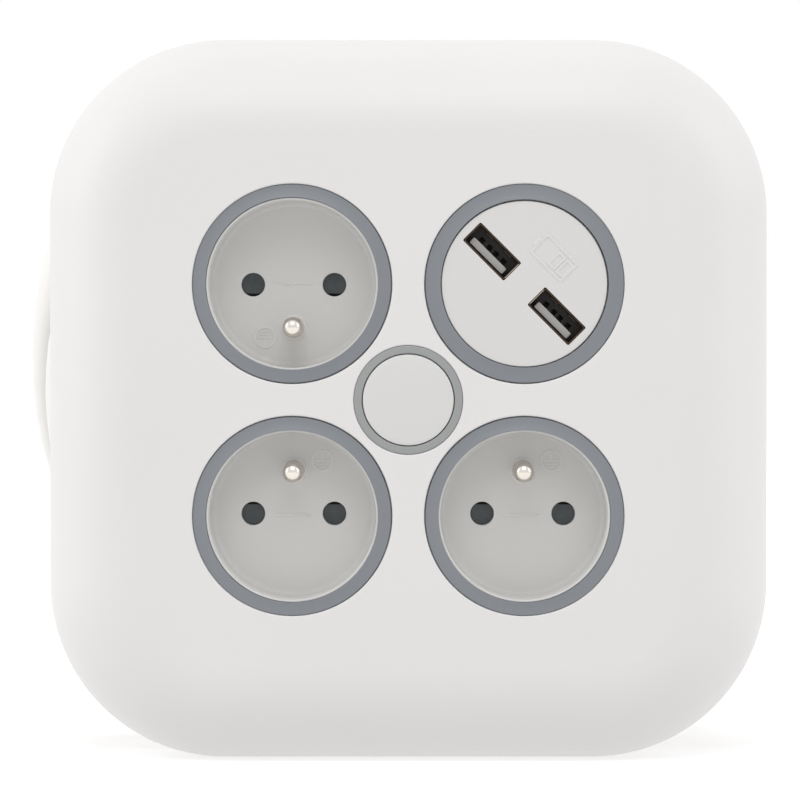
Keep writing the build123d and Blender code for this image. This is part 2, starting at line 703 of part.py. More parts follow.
def drum_core():
    """The tube that the cable is wound on, with four screw posts inside."""
    tube = rod(DRUM_RADIUS, COVER_DEPTH, GROOVE_END) - rod(DRUM_RADIUS - DRUM_WALL, COVER_DEPTH, GROOVE_END)
    for centre in DRUM_POSTS:
        tube += rod(DRUM_POST_RADIUS, COVER_DEPTH, GROOVE_END, centre) + drum_rib(centre)
        for start in (COVER_DEPTH, GROOVE_END - SCREW_LENGTH):
            tube -= rod(SCREW_RADIUS + SCREW_GAP, start, start + SCREW_LENGTH, centre)
    return tube - gland_rod(CABLE_RADIUS + GLAND_WALL + GLAND_BORE_GAP, -2 * GLAND_INSIDE, 2 * GLAND_INSIDE)


def rear_outline(inset):
    """The rear housing's outline, with a shallow scoop in its left edge where the cable crosses."""
    scoop_radius = (NOTCH_LENGTH**2 / 4 + NOTCH_DEPTH**2) / (2 * NOTCH_DEPTH)
    centre = -HOUSING_SIDE / 2 + NOTCH_DEPTH - scoop_radius
    outline = RectangleRounded(HOUSING_SIDE, HOUSING_SIDE, HOUSING_CORNER)
    outline -= Pos(centre, LOOSE_HEIGHT) * Circle(scoop_radius)
    corners = outline.vertices().group_by(Axis.X)[0].sort_by(Axis.Y)[1:3]
    outline = fillet(corners, NOTCH_CORNER)
    return offset(outline, amount=-inset) if inset else outline


def plug_outline(grow):
    """The parked plug's half section along X, grown all round by a gap or a wall."""
    neck_start = PLUG_START + PLUG_RELIEF
    return [
        (PLUG_START - grow, 0),
        (PLUG_START - grow, CABLE_RADIUS + PLUG_RELIEF_WALL + grow),
        (neck_start, PLUG_NECK_RADIUS + grow),
        (PLUG_HEAD_START - PLUG_SHOULDER, PLUG_RADIUS - PLUG_SHOULDER + grow),
        (PLUG_HEAD_START - grow, PLUG_RADIUS + grow),
        (PLUG_FACE + grow, PLUG_RADIUS + grow),
        (PLUG_FACE + grow, 0),
    ]


def plug_solid(grow):
    half = make_face(Polyline(*plug_outline(grow), close=True))
    return Pos(0, PLUG_AXIS_DEPTH, PLUG_AXIS_HEIGHT) * revolve(half, Axis.X)


def plug_clip():
    """Two springy fingers that hold the parked plug beyond its middle."""
    outer = Circle(PLUG_RADIUS + PARK_GAP + CLIP_THICKNESS) - Circle(PLUG_RADIUS + PARK_GAP)
    front = BACK - WALL - PLUG_AXIS_DEPTH
    keep = Pos((front + CLIP_REACH) / 2, 0) * Rectangle(CLIP_REACH - front, 4 * PLUG_RADIUS)
    start = PLUG_FACE - CLIP_WIDTH - CLIP_INSET
    fingers = extrude(Plane.YZ.offset(start) * (outer & keep), amount=CLIP_WIDTH)
    return Pos(0, PLUG_AXIS_DEPTH, PLUG_AXIS_HEIGHT) * fingers


def rear_cover():
    outer = prism(rear_outline(0), GROOVE_END, BACK)
    outer = fillet(outer.edges().group_by(Axis.Y)[-1], REAR_ROUNDING)
    cavity = prism(rear_outline(WALL), GROOVE_END, BACK - WALL)
    envelope = outer
    cover = outer - cavity
    recess_front = RECESS_FLOOR - WALL
    cover += rod(RECESS_RADIUS + WALL, recess_front, BACK)
    for centre in DRUM_POSTS:
        cover += rod(WELL_RADIUS + WELL_WALL, GROOVE_END + WALL, BACK - WALL / 2, centre)
    pocket = plug_solid(PARK_GAP + WALL) & envelope & prism(rear_outline(WALL), GROOVE_END + WALL, BACK)
    cover += pocket
    cover -= plug_solid(PARK_GAP)
    cover += plug_clip()
    cover -= rod(RECESS_RADIUS, RECESS_FLOOR, BACK + 1)
    cover += rod(BOSS_RADIUS, BOSS_FRONT, recess_front + WALL / 2)
    cover -= rod(AXLE_RADIUS + SCREW_GAP, BOSS_FRONT + WALL, BACK)
    for centre in DRUM_POSTS:
        cover -= rod(WELL_RADIUS, GROOVE_END + 2 * WALL, BACK + 1, centre)
        cover -= rod(SCREW_RADIUS + SCREW_GAP, GROOVE_END, BACK, centre)
    return cover


def rear_plate():
    plate = prism(rear_outline(WALL + SEAM), GROOVE_END, GROOVE_END + WALL)
    plate -= rod(RECESS_RADIUS, GROOVE_END - 1, GROOVE_END + WALL + 1)
    for centre in DRUM_POSTS:
        plate -= rod(SCREW_RADIUS + SCREW_GAP, GROOVE_END - 1, GROOVE_END + WALL + 1, centre)
    return plate


def axle():
    end = GRIP_SHOULDER + WASHER_GAP
    pin = rod(AXLE_RADIUS, BOSS_FRONT + WALL, end)
    return pin - rod(AXLE_SCREW_RADIUS + SCREW_GAP, end - AXLE_SCREW_LENGTH, end)


def axle_washer():
    front = GRIP_SHOULDER + WASHER_GAP
    back = front + WASHER_THICKNESS
    return rod(WASHER_RADIUS, front, back) - rod(AXLE_SCREW_RADIUS + SCREW_GAP, front, back)


def axle_screw():
    seat = GRIP_SHOULDER + WASHER_GAP + WASHER_THICKNESS
    shank_end = GRIP_SHOULDER + WASHER_GAP - AXLE_SCREW_LENGTH + OVERSHOOT
    return rod(AXLE_HEAD_RADIUS, seat, seat + AXLE_HEAD) + rod(AXLE_SCREW_RADIUS, shank_end, seat)


def hand_grip():
    """A dished grip: a ring, a floor, and a hollow bar across it with a round hub in the middle."""
    cup = rod(GRIP_RADIUS, GRIP_FRONT, GRIP_BACK)
    cup = fillet(cup.edges().group_by(Axis.Y)[-1], GRIP_WALL / 2 - PRESS_GAP)
    cup -= rod(GRIP_RADIUS - GRIP_WALL, GRIP_FRONT + GRIP_FLOOR, GRIP_BACK)
    bar_back = GRIP_BACK - GRIP_BAR_DROP
    bar_middle = (GRIP_FRONT + bar_back) / 2
    section = Pos(0, bar_middle) * Rectangle(GRIP_BAR, bar_back - GRIP_FRONT)
    section = fillet(section.vertices().group_by(Axis.Y)[-1], GRIP_BAR_ROUNDING)
    bar = extrude(section, amount=GRIP_RADIUS, both=True)
    bar &= rod(GRIP_RADIUS - GRIP_WALL / 2, GRIP_FRONT, GRIP_BACK)
    grip = cup + bar + rod(GRIP_HUB_RADIUS, GRIP_FRONT, GRIP_BACK)
    core_half = GRIP_RADIUS - 2 * GRIP_WALL
    core_back = bar_back - GRIP_WALL
    core = block(GRIP_BAR - 2 * GRIP_WALL, 2 * core_half, GRIP_FRONT, core_back)
    grip -= core - rod(GRIP_HUB_RADIUS - GRIP_WALL, GRIP_FRONT, core_back)
    grip -= rod(AXLE_RADIUS + RUNNING_GAP, GRIP_FRONT - 1, GRIP_SHOULDER + 1)
    return grip - rod(CAP_RADIUS, GRIP_SHOULDER, GRIP_BACK + 1)


def grip_cap():
    """A shallow domed cap on a skirt that stands on the hub's shoulder."""
    radius = CAP_RADIUS - CAP_GAP
    front = GRIP_BACK - CAP_THICKNESS
    bore = WASHER_RADIUS + CAP_SKIRT_GAP
    cap = turned(
        [
            (0, front),
            (bore, front),
            (bore, GRIP_SHOULDER + CAP_GAP),
            (radius, GRIP_SHOULDER + CAP_GAP),
            (radius, GRIP_BACK - CAP_EDGE),
            (radius - CAP_EDGE, GRIP_BACK),
            (0, GRIP_BACK),
        ]
    )
    return cap


def lead_point(along, across=0.0):
    """A point beside the slanted line of the cable's way in, measured from the drum's outer wall."""
    wall = radians(GLAND_ANGLE)
    slant = radians(GLAND_ANGLE + GLAND_SLANT)
    x = DRUM_RADIUS * cos(wall) + along * cos(slant) - across * sin(slant)
    z = DRUM_RADIUS * sin(wall) + along * sin(slant) + across * cos(slant)
    return (x, z)


def along_lead(sketch, start, end):
    """A sketch carried along the cable's way in, outwards from start to end."""
    slant = radians(GLAND_ANGLE + GLAND_SLANT)
    x, z = lead_point(start)
    direction = Vector(cos(slant), 0, sin(slant))
    plane = Plane(origin=(x, LANE_DEPTHS[0], z), x_dir=(0, 1, 0), z_dir=direction)
    return extrude(plane * sketch, amount=end - start)


def gland_rod(radius, start, end):
    return along_lead(Circle(radius), start, end)


def inside_drum(radius):
    return rod(radius, COVER_DEPTH, GROOVE_END)


def cable_gland():
    """A soft bush in the drum's wall, with a flange on the inside that follows the wall."""
    bush = gland_rod(CABLE_RADIUS + GLAND_WALL, -2 * GLAND_INSIDE, 2 * GLAND_INSIDE)
    bush &= inside_drum(DRUM_RADIUS) - inside_drum(DRUM_RADIUS - DRUM_WALL - GLAND_FLANGE)
    lip = gland_rod(CABLE_RADIUS + GLAND_WALL + GLAND_FLANGE_LIP, -2 * GLAND_INSIDE, 2 * GLAND_INSIDE)
    seat = DRUM_RADIUS - DRUM_WALL - PRESS_GAP
    bush += lip & (inside_drum(seat) - inside_drum(seat - GLAND_FLANGE))
    return bush - gland_rod(CABLE_RADIUS + SCREW_GAP, -4 * GLAND_INSIDE, 4 * GLAND_INSIDE)


def inner_lead():
    return gland_rod(CABLE_RADIUS, -LEAD_LENGTH, 2 * GLAND_INSIDE) & inside_drum(DRUM_RADIUS)


def clamp_ears():
    """Centres of the clamp's two screws, either side of the cable."""
    return [lead_point(-CLAMP_PLACE, across) for across in (-CLAMP_EAR, CLAMP_EAR)]


def cable_clamp():
    """A saddle over the cable, screwed down on the base plate."""
    start = -CLAMP_PLACE - CLAMP_LENGTH / 2
    end = start + CLAMP_LENGTH
    seat = LANE_DEPTHS[0]
    top = seat + CABLE_RADIUS + CLAMP_WALL
    saddle = Rectangle(top - COVER_DEPTH, 2 * (CABLE_RADIUS + CLAMP_WALL))
    saddle = Pos((COVER_DEPTH + top) / 2 - seat, 0) * saddle
    ears = Rectangle(seat - COVER_DEPTH, 2 * (CLAMP_EAR + CLAMP_EAR_END))
    ears = Pos((COVER_DEPTH - seat) / 2, 0) * ears
    clamp = along_lead(saddle + ears, start, end)
    clamp -= gland_rod(CABLE_RADIUS + PRESS_GAP, start - OVERSHOOT, end + OVERSHOOT)
    for centre in clamp_ears():
        clamp -= rod(SCREW_RADIUS + SCREW_GAP, COVER_DEPTH - OVERSHOOT, seat + OVERSHOOT, centre)
    return clamp


def rounded_path(points):
    """Straight runs joined by tangent arcs, each as large as its two runs allow."""
    points = [Vector(*point) for point in points]
    radii = []
    for before, corner, after in zip(points, points[1:], points[2:]):
        turn = (corner - before).get_angle(after - corner)
        shorter = min((corner - before).length, (after - corner).length)
        radii.append(ARC_SHARE * shorter / tan(radians(turn / 2)))
    return FilletPolyline(*points, radius=radii), radii


def tube(points, radius):
    path, radii = rounded_path(points)
    start = Plane(origin=path @ 0, z_dir=path % 0)
    return sweep(start * Circle(radius), path), path, radii


def core_wire(target, level, shift):
    """One core of the cable, from the sheath's end through the base plate's opening to its terminal."""
    depth = LANE_DEPTHS[0]
    start = lead_point(-LEAD_LENGTH, shift)
    first = lead_point(-LEAD_LENGTH - WIRE_RUN + WIRE_STAGGER * shift, shift)
    above = level + WIRE_DROP
    second = ((first[0] + target[0]) / 2, depth - OVERSHOOT, (first[1] + target[1]) / 2)
    points = [
        (start[0], depth, start[1]),
        (first[0], depth, first[1]),
        second,
        (target[0], above, target[1]),
        (target[0], level, target[1]),
    ]
    return tube(points, WIRE_RADIUS)[0]


def cable_winding():
    """The wound cable as one body: a row of lanes, each with a loose outer turn of its own."""
    half = LANE_PITCH / 2
    lanes = []
    for depth, (radius, shift) in zip(LANE_DEPTHS, LOOSE_TURNS):
        straight = radius + CABLE_RADIUS - half
        front = depth - half
        back = depth + half
        flat = Polyline((straight, front), (0, front), (0, back), (straight, back))
        edge = ThreePointArc((straight, front), (straight + half, depth), (straight, back))
        lanes.append(Pos(shift, 0, LOOSE_HEIGHT) * revolve(make_face(flat + edge), Axis.Y))
    winding = joined(lanes)
    last_start = LAST_LANE - half
    keep = rod(TAIL_STEP_RADIUS, last_start, LAST_LANE + half + 1, (LOOSE_TURNS[-1][1], LOOSE_HEIGHT))
    reach = 2 * HOUSING_SIDE
    left = block(reach, reach, last_start, LAST_LANE + half + 1, (TAIL_START - reach / 2, reach / 2 - 40))
    winding -= left - keep
    return winding - rod(DRUM_RADIUS + WINDING_GAP, COVER_DEPTH, GROOVE_END)


# The free end of the cable, from the last turn's top over the scoop and down to the plug
TAIL_ROUTE = [
    (TAIL_START, LAST_LANE, 82.5),
    (-43.1, LAST_LANE, 82.5),
    (-77.4, LAST_LANE, 57.1),
    (-89.1, 73.2, 23.0),
    (-89.1, 95.2, -15.4),
    (-73.0, 101.7, -44.7),
    (-44.6, PLUG_AXIS_DEPTH, PLUG_AXIS_HEIGHT),
    (PLUG_START, PLUG_AXIS_DEPTH, PLUG_AXIS_HEIGHT),
]


def plug_body():
    """The moulded plug with its strain relief: two holes for the pins and one for a standing earth pin."""
    body = plug_solid(0)
    face_edge = body.edges().filter_by(GeomType.CIRCLE).sort_by(Axis.X)[-1]
    body = fillet(face_edge, PLUG_EDGE)
    for side in (-1, 1):
        root = PLUG_FACE - PLUG_PIN_ROOT
        body -= plug_bar(PLUG_PIN_RADIUS + SCREW_GAP, root, PLUG_FACE + 1, 0, side * PIN_SPACING / 2)
        body -= plug_strap_block(side, SCREW_GAP)
    earth_bore = EARTH_PIN_RADIUS + PLUG_EARTH_GAP
    bottom = PLUG_FACE - PLUG_EARTH_DEPTH
    return body - plug_bar(earth_bore, bottom, PLUG_FACE + OVERSHOOT, EARTH_OFFSET, 0)


def plug_bar(radius, start, end, out, up):
    """A round bar along the plug's axis, set off from it outwards and upwards."""
    place = Pos(start, PLUG_AXIS_DEPTH + out, PLUG_AXIS_HEIGHT + up)
    return place * extrude(Plane.YZ * Circle(radius), amount=end - start)


def plug_pins():
    pins = []
    for side in (-1, 1):
        start = PLUG_FACE - PLUG_PIN_ROOT
        pin = plug_bar(PLUG_PIN_RADIUS, start, PLUG_FACE + PLUG_PIN_LENGTH, 0, side * PIN_SPACING / 2)
        tip = pin.edges().filter_by(GeomType.CIRCLE).sort_by(Axis.X)[-1]
        pins.append(fillet(tip, PLUG_PIN_RADIUS * 0.6))
    return pins


def plug_strap_block(side, grow):
    """One earth contact, let into the plug's flank."""
    out = side * (PLUG_RADIUS - STRAP_THICKNESS / 2)
    box = Box(STRAP_LENGTH + 2 * grow, STRAP_THICKNESS + 2 * grow, STRAP_WIDTH + 2 * grow)
    middle = PLUG_FACE - PLUG_EDGE - STRAP_LENGTH / 2
    return Pos(middle, PLUG_AXIS_DEPTH + out, PLUG_AXIS_HEIGHT) * box


def plug_earth_strap():
    inside = Pos(0, PLUG_AXIS_DEPTH, PLUG_AXIS_HEIGHT) * extrude(
        Plane.YZ.offset(PLUG_START) * Circle(PLUG_RADIUS - STRAP_DROP), amount=PLUG_FACE - PLUG_START
    )
    return [plug_strap_block(side, 0) & inside for side in (-1, 1)]


def build():
    parts = {
        "front_cover": front_cover(),
        "base_plate": base_plate(),
        "drum_core": drum_core(),
        "rear_plate": rear_plate(),
        "rear_cover": rear_cover(),
        "contact_carrier": contact_carrier(),
        "live_busbar": live_busbar(),
        "neutral_busbar": neutral_busbar(),
        "earth_busbar": earth_busbar(),
        "usb_ring": socket_ring(USB_CENTRE),
        "usb_insert": usb_insert(),
        "usb_board": usb_board(),
        "usb_power_module": usb_power_module(),
        "button_ring": button_ring(),
        "reset_button": reset_button(),
        "thermal_cutout": thermal_cutout(),
        "axle": axle(),
        "axle_washer": axle_washer(),
        "axle_screw": axle_screw(),
        "hand_grip": hand_grip(),
        "grip_cap": grip_cap(),
        "cable_gland": cable_gland(),
        "inner_lead": inner_lead(),
        "cable_clamp": cable_clamp(),
        "live_wire": core_wire(LIVE_END, CUTOUT_BACK + TERMINAL_LENGTH, 0),
        "neutral_wire": core_wire(NEUTRAL_END, POLE_LEVEL + BUSBAR_THICKNESS, -WIRE_SPREAD),
        "earth_wire": core_wire(EARTH_END, EARTH_LEVEL + BUSBAR_THICKNESS, WIRE_SPREAD),
        "cable_winding": cable_winding(),
        "plug_body": plug_body(),
        "plug_pins": plug_pins(),
        "plug_earth_strap": plug_earth_strap(),
    }
    for name, (x, z, upright) in SOCKETS.items():
        parts[f"socket_ring_{name}"] = socket_ring((x, z))
        parts[f"socket_cup_{name}"] = socket_cup((x, z), upright)
        parts[f"earth_pin_{name}"] = earth_pin((x, z), upright)
        parts[f"shutter_{name}"] = shutter((x, z), upright)
        parts[f"shutter_spring_{name}"] = shutter_spring((x, z), upright)
    for name, side in (("upper", -1), ("lower", 1)):
        parts[f"usb_shell_{name}"] = usb_shell(side)
        parts[f"usb_tongue_{name}"] = usb_tongue(side)
    parts["base_screws"] = [screw(COVER_DEPTH, -1, centre, True) for centre in COVER_POSTS]
    parts["carrier_screws"] = [screw(CARRIER_BACK + SCREW_HEAD, -1, centre) for centre in CARRIER_POSTS]
    parts["drum_screws"] = [screw(PLATE_FRONT - SCREW_HEAD, 1, centre) for centre in DRUM_POSTS]
    parts["rear_screws"] = [screw(GROOVE_END + 2 * WALL + SCREW_HEAD, -1, centre) for centre in DRUM_POSTS]
    parts["clamp_screws"] = [clamp_screw(centre) for centre in clamp_ears()]
    parts["cable_tail"] = cable_tail()
    return parts


def clamp_screw(centre):
    """A short screw through the clamp's ear into the base plate."""
    seat = LANE_DEPTHS[0]
    shank = rod(SCREW_RADIUS, COVER_DEPTH, seat, centre)
    return rod(SCREW_HEAD_RADIUS, seat, seat + SCREW_HEAD, centre) + shank


def cable_tail():
    solid, path, radii = tube(TAIL_ROUTE, CABLE_RADIUS)
    print("cable_tail radii", [round(radius, 1) for radius in radii])
    print("cable_tail length", round(path.length, 1))
    print("cable_tail volume", round(solid.volume), round(pi * CABLE_RADIUS**2 * path.length))
    return solid


def main():
    os.makedirs("parts", exist_ok=True)
    front = -BUTTON_PROUD
    middle = (front + GRIP_BACK) / 2
    place = Pos(0, -middle, HOUSING_SIDE / 2)
    print("reel axis at height", HOUSING_SIDE / 2, "face at", -middle)
    for name, piece in build().items():
        solids = piece if isinstance(piece, list) else [piece]
        whole = Compound([solid for part in solids for solid in (place * part).solids()])
        count = len(whole.solids())
        export_step(whole.solids()[0] if count == 1 else whole, f"parts/{name}.step")


if __name__ == "__main__":
    main()
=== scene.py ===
"""The looks of the cable reel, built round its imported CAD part.

Meshes are shaped in millimetres about the reel's axis: X to the right, Y back from the face, Z up.
They are moved into the row frame, in metres, when a piece is finished.
"""

from __future__ import annotations

import logging
import math
from dataclasses import dataclass
from enum import Enum
from typing import Callable, Iterable, Sequence

import bmesh
import bpy
from mathutils import Matrix, Vector

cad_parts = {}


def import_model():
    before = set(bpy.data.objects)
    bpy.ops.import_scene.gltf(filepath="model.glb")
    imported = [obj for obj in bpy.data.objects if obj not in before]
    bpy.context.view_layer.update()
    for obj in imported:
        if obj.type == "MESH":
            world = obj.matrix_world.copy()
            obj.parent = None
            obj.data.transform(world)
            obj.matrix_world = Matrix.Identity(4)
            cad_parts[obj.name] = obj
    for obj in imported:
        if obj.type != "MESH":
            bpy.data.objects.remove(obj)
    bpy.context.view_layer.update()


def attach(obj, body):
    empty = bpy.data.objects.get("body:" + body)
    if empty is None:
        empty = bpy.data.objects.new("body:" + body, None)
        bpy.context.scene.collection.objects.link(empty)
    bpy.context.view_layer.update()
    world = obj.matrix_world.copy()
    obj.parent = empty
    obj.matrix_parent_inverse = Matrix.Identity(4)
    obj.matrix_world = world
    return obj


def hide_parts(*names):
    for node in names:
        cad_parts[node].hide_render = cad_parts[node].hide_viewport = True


LOG = logging.getLogger("cable_reel")

MM = 0.001
AXIS_HEIGHT = 84.25
FACE_DEPTH = 52.0
# Steps round a large turned piece, round a well, and round a small hole.
ROUND_STEPS = 96
WELL_STEPS = 48
HOLE_STEPS = 32
# An edge sharper than its crease angle is shaded crisp.
CREASE = math.radians(32)
CRISP_CREASE = math.radians(28)
SOFT_CREASE = math.radians(40)
# Nearer than this, in mm, two places count as one when meshes are merged, or when edges are picked.
MERGE = 1e-4
CLOSE = 0.01
# How far a cutting tool reaches past what it cuts.
PAST = 1.0
# A face that looks this straight along the depth axis counts as flat, and its border stays crisp.
FLAT = 0.99999
# Where a finish's two tones start in its noise, and how far its gloss drifts.
TONE_STOPS = (0.3, 0.7)
GLOSS_DRIFT = 0.1
# How far the axles and plug stand clear of what holds them.
AXLE_PLAY = 0.05
PLUG_PLAY = 0.5
SOCKET_OFFSET = 26.75
REEL = "reel_body"
GRIP = "hand_grip"

Point2 = tuple[float, float]
Point3 = tuple[float, float, float]
EdgeTest = Callable[[bmesh.types.BMEdge], bool]


class Carve(Enum):
    """How a tool changes the piece that it meets."""

    CUT = "DIFFERENCE"
    FUSE = "UNION"
    KEEP = "INTERSECT"


class Upright(Enum):
    """Which way up a socket sits."""

    EARTH_ABOVE = 1
    EARTH_BELOW = -1


# Shaping helpers


def to_frame(point: Point3) -> Vector:
    """Returns a point about the reel's axis, in mm, as a point in the row frame, in metres."""
    return Vector((point[0], point[1] - FACE_DEPTH, point[2] + AXIS_HEIGHT)) * MM


def spun(profile: Sequence[Point2], centre: Point2 = (0, 0), steps: int = ROUND_STEPS,
         rounds: Sequence[tuple[Point2, float]] = ()) -> bmesh.types.BMesh:
    """Turns a half section about the depth axis.

    Args:
        profile: Corners as radius and depth. It is a closed ring section unless it starts on the axis.
        centre: Where the axis stands, across and up.
        steps: Facets round the turn.
        rounds: Corners to soften, each with its radius.

    Returns:
        The turned mesh.
    """
    form = bmesh.new()
    corners = [form.verts.new((radius, depth, 0)) for radius, depth in profile]
    pairs = list(zip(corners, corners[1:]))
    if profile[0][0] > 0:
        pairs.append((corners[-1], corners[0]))
    edges = [form.edges.new(pair) for pair in pairs]
    bmesh.ops.spin(form, geom=corners + edges, cent=(0, 0, 0), axis=(0, 1, 0), angle=math.tau,
                   steps=steps, use_merge=True)
    bmesh.ops.remove_doubles(form, verts=form.verts, dist=MERGE)
    bmesh.ops.recalc_face_normals(form, faces=form.faces)
    for (radius, depth), softness in rounds:
        soften(form, on_ring(radius, depth), softness)
    bmesh.ops.translate(form, vec=(centre[0], 0, centre[1]), verts=form.verts)
    return form


def drill(radius: float, front: float, back: float, centre: Point2 = (0, 0),
          steps: int = ROUND_STEPS) -> bmesh.types.BMesh:
    """Returns a round bar along the depth axis, to cut or to fuse with."""
    return spun([(0, front), (radius, front), (radius, back), (0, back)], centre, steps)


def dome(radius: float, tip: float, steps: int = 10) -> list[Point2]:
    """Returns the half section of a domed tip, from the axis outwards."""
    turns = [math.pi / 2 * index / steps for index in range(steps + 1)]
    return [(radius * math.sin(turn), tip + radius * (1 - math.cos(turn))) for turn in turns]


def on_ring(radius: float, depth: float, centre: Point2 = (0, 0)) -> EdgeTest:
    """Returns a test for edges that lie on one circle of a turned mesh.

    Args:
        radius: The circle's radius.
        depth: Its depth.
        centre: Its middle, across and up.

    Returns:
        The test.
    """

    def test(edge: bmesh.types.BMEdge) -> bool:
        """Says whether both ends of an edge lie on the circle."""
        for vert in edge.verts:
            out = math.hypot(vert.co.x - centre[0], vert.co.z - centre[1])
            if abs(out - radius) > CLOSE or abs(vert.co.y - depth) > CLOSE:
                return False
        return True

    return test


def at_depth(depth: float) -> EdgeTest:
    """Returns a test for edges that lie in one plane across the depth."""
    return lambda edge: all(abs(vert.co.y - depth) < CLOSE for vert in edge.verts)


def along_depth(edge: bmesh.types.BMEdge) -> bool:
    """Says whether an edge runs straight back."""
    first, last = (vert.co for vert in edge.verts)
    return abs(first.x - last.x) < CLOSE and abs(first.z - last.z) < CLOSE


def soften(form: bmesh.types.BMesh, test: EdgeTest, softness: float, segments: int = 3) -> None:
    """Rounds the edges that a test picks.

    Args:
        form: The mesh to change.
        test: Says which edges are rounded.
        softness: Radius of the rounding.
        segments: Strips across the rounding.
    """
    edges = [edge for edge in form.edges if test(edge)]
    if edges:
        bmesh.ops.bevel(form, geom=edges, offset=softness, offset_type="OFFSET", affect="EDGES",
                        segments=segments, profile=0.5, material=-1, clamp_overlap=False)


def slab(width: float, height: float, front: float, back: float, centre: Point2 = (0, 0),
         corner: float = 0.0, turn: float = 0.0, corner_segments: int = 6) -> bmesh.types.BMesh:
    """Makes a block with rounded upright corners.

    Args:
        width: Size across before the turn.
        height: Size up before the turn.
        front: Depth of the nearer side.
        back: Depth of the farther side.
        centre: Its middle, across and up.
        corner: Radius of the four edges that run back.
        turn: Turn about the depth axis in degrees, anticlockwise as the viewer sees it.
        corner_segments: Strips across each rounded edge.

    Returns:
        The block.
    """
    form = bmesh.new()
    bmesh.ops.create_cube(form, size=1.0)
    bmesh.ops.scale(form, vec=(width, back - front, height), verts=form.verts)
    bmesh.ops.translate(form, vec=(0, (front + back) / 2, 0), verts=form.verts)
    if corner:
        soften(form, along_depth, corner, corner_segments)
    spin_by = Matrix.Rotation(-math.radians(turn), 4, "Y")
    bmesh.ops.transform(form, matrix=Matrix.Translation((centre[0], 0, centre[1])) @ spin_by,
                        verts=form.verts)
    return form


def joined(forms: Iterable[bmesh.types.BMesh]) -> bmesh.types.BMesh:
    """Puts several meshes side by side into one, and frees them.

    Args:
        forms: The meshes.

    Returns:
        The mesh that holds them all.
    """
    whole = bmesh.new()
    for form in forms:
        mesh = bpy.data.meshes.new("shaping")
        form.to_mesh(mesh)
        form.free()
        whole.from_mesh(mesh)
        bpy.data.meshes.remove(mesh)
    return whole


def carved(form: bmesh.types.BMesh, tool: bmesh.types.BMesh, how: Carve) -> bmesh.types.BMesh:
    """Cuts one closed mesh with another, and frees both.

    Args:
        form: The mesh to keep.
        tool: The mesh that changes it.
        how: Cut away, fuse or keep what is common.

    Returns:
        The changed mesh.
    """
    holders = []
    for part in (form, tool):
        mesh = bpy.data.meshes.new("shaping")
        part.to_mesh(mesh)
        part.free()
        holder = bpy.data.objects.new("shaping", mesh)
        bpy.context.scene.collection.objects.link(holder)
        holders.append(holder)
    modifier = holders[0].modifiers.new("carve", "BOOLEAN")
    modifier.operation = how.value
    modifier.solver = "EXACT"
    modifier.object = holders[1]
    bpy.context.view_layer.update()
    changed = holders[0].evaluated_get(bpy.context.evaluated_depsgraph_get())
    result = bmesh.new()
    result.from_mesh(changed.to_mesh())
    changed.to_mesh_clear()
    for holder in holders:
        mesh = holder.data
        bpy.data.objects.remove(holder)
        bpy.data.meshes.remove(mesh)
    bmesh.ops.remove_doubles(result, verts=result.verts, dist=MERGE)
    return result


def lathed_x(profile: Sequence[Point2], depth: float, height: float, steps: int = 64) -> bmesh.types.BMesh:
    """Turns a half section about an axis that runs across the reel.

    Args:
        profile: Corners as place along X and radius, from axis to axis.
        depth: Depth of the axis.
        height: Height of the axis.
        steps: Facets round the turn.

    Returns:
        The turned mesh.
    """
    form = bmesh.new()
    corners = [form.verts.new((x, radius, 0)) for x, radius in profile]
    edges = [form.edges.new(pair) for pair in zip(corners, corners[1:])]
    bmesh.ops.spin(form, geom=corners + edges, cent=(0, 0, 0), axis=(1, 0, 0), angle=math.tau,
                   steps=steps, use_merge=True)
    bmesh.ops.remove_doubles(form, verts=form.verts, dist=MERGE)
    bmesh.ops.recalc_face_normals(form, faces=form.faces)
    bmesh.ops.translate(form, vec=(0, depth, height), verts=form.verts)
    return form


def pin_x(radius: float, start: float, end: float, depth: float, height: float,
          steps: int = ROUND_STEPS) -> bmesh.types.BMesh:
    """Returns a round bar across the reel, from one place along X to another."""
    return lathed_x([(start, 0), (start, radius), (end, radius), (end, 0)], depth, height, steps)


def arc(centre: Point2, radius: float, start: float, end: float, step: float = 3.2) -> list[Point2]:
    """Returns points along an arc, both ends included.

    Args:
        centre: The arc's middle.
        radius: Its radius.
        start: The angle where it starts, in degrees.
        end: The angle where it ends.
        step: About how many degrees lie between two points.

    Returns:
        The points.
    """
    count = max(4, round(abs(end - start) / step))
    angles = [math.radians(start + (end - start) * index / count) for index in range(count + 1)]
    return [(centre[0] + radius * math.cos(turn), centre[1] + radius * math.sin(turn)) for turn in angles]


def lofted(sections: Sequence[tuple[Sequence[Point2], float]]) -> bmesh.types.BMesh:
    """Makes a closed solid through outlines that have the same number of points.

    Args:
        sections: Each outline, across and up, with its depth, from one end to the other.

    Returns:
        The solid.
    """
    form = bmesh.new()
    rings = [[form.verts.new((across, depth, up)) for across, up in outline] for outline, depth in sections]
    for near, far in zip(rings, rings[1:]):
        for index, vert in enumerate(near):
            form.faces.new((near[index - 1], vert, far[index], far[index - 1]))
    for ring in (rings[0], rings[-1]):
        form.faces.new(ring)
    bmesh.ops.recalc_face_normals(form, faces=form.faces)
    return form


# Finishes


def linear(code: str) -> tuple[float, float, float, float]:
    """Turns an sRGB hex code into linear colour with full alpha.

    Args:
        code: The code, with its number sign.

    Returns:
        Red, green, blue and alpha.
    """
    parts = [int(code[i:i + 2], 16) / 255 for i in (1, 3, 5)]
    bright = [part / 12.92 if part <= 0.04045 else ((part + 0.055) / 1.055) ** 2.4 for part in parts]
    return (bright[0], bright[1], bright[2], 1.0)


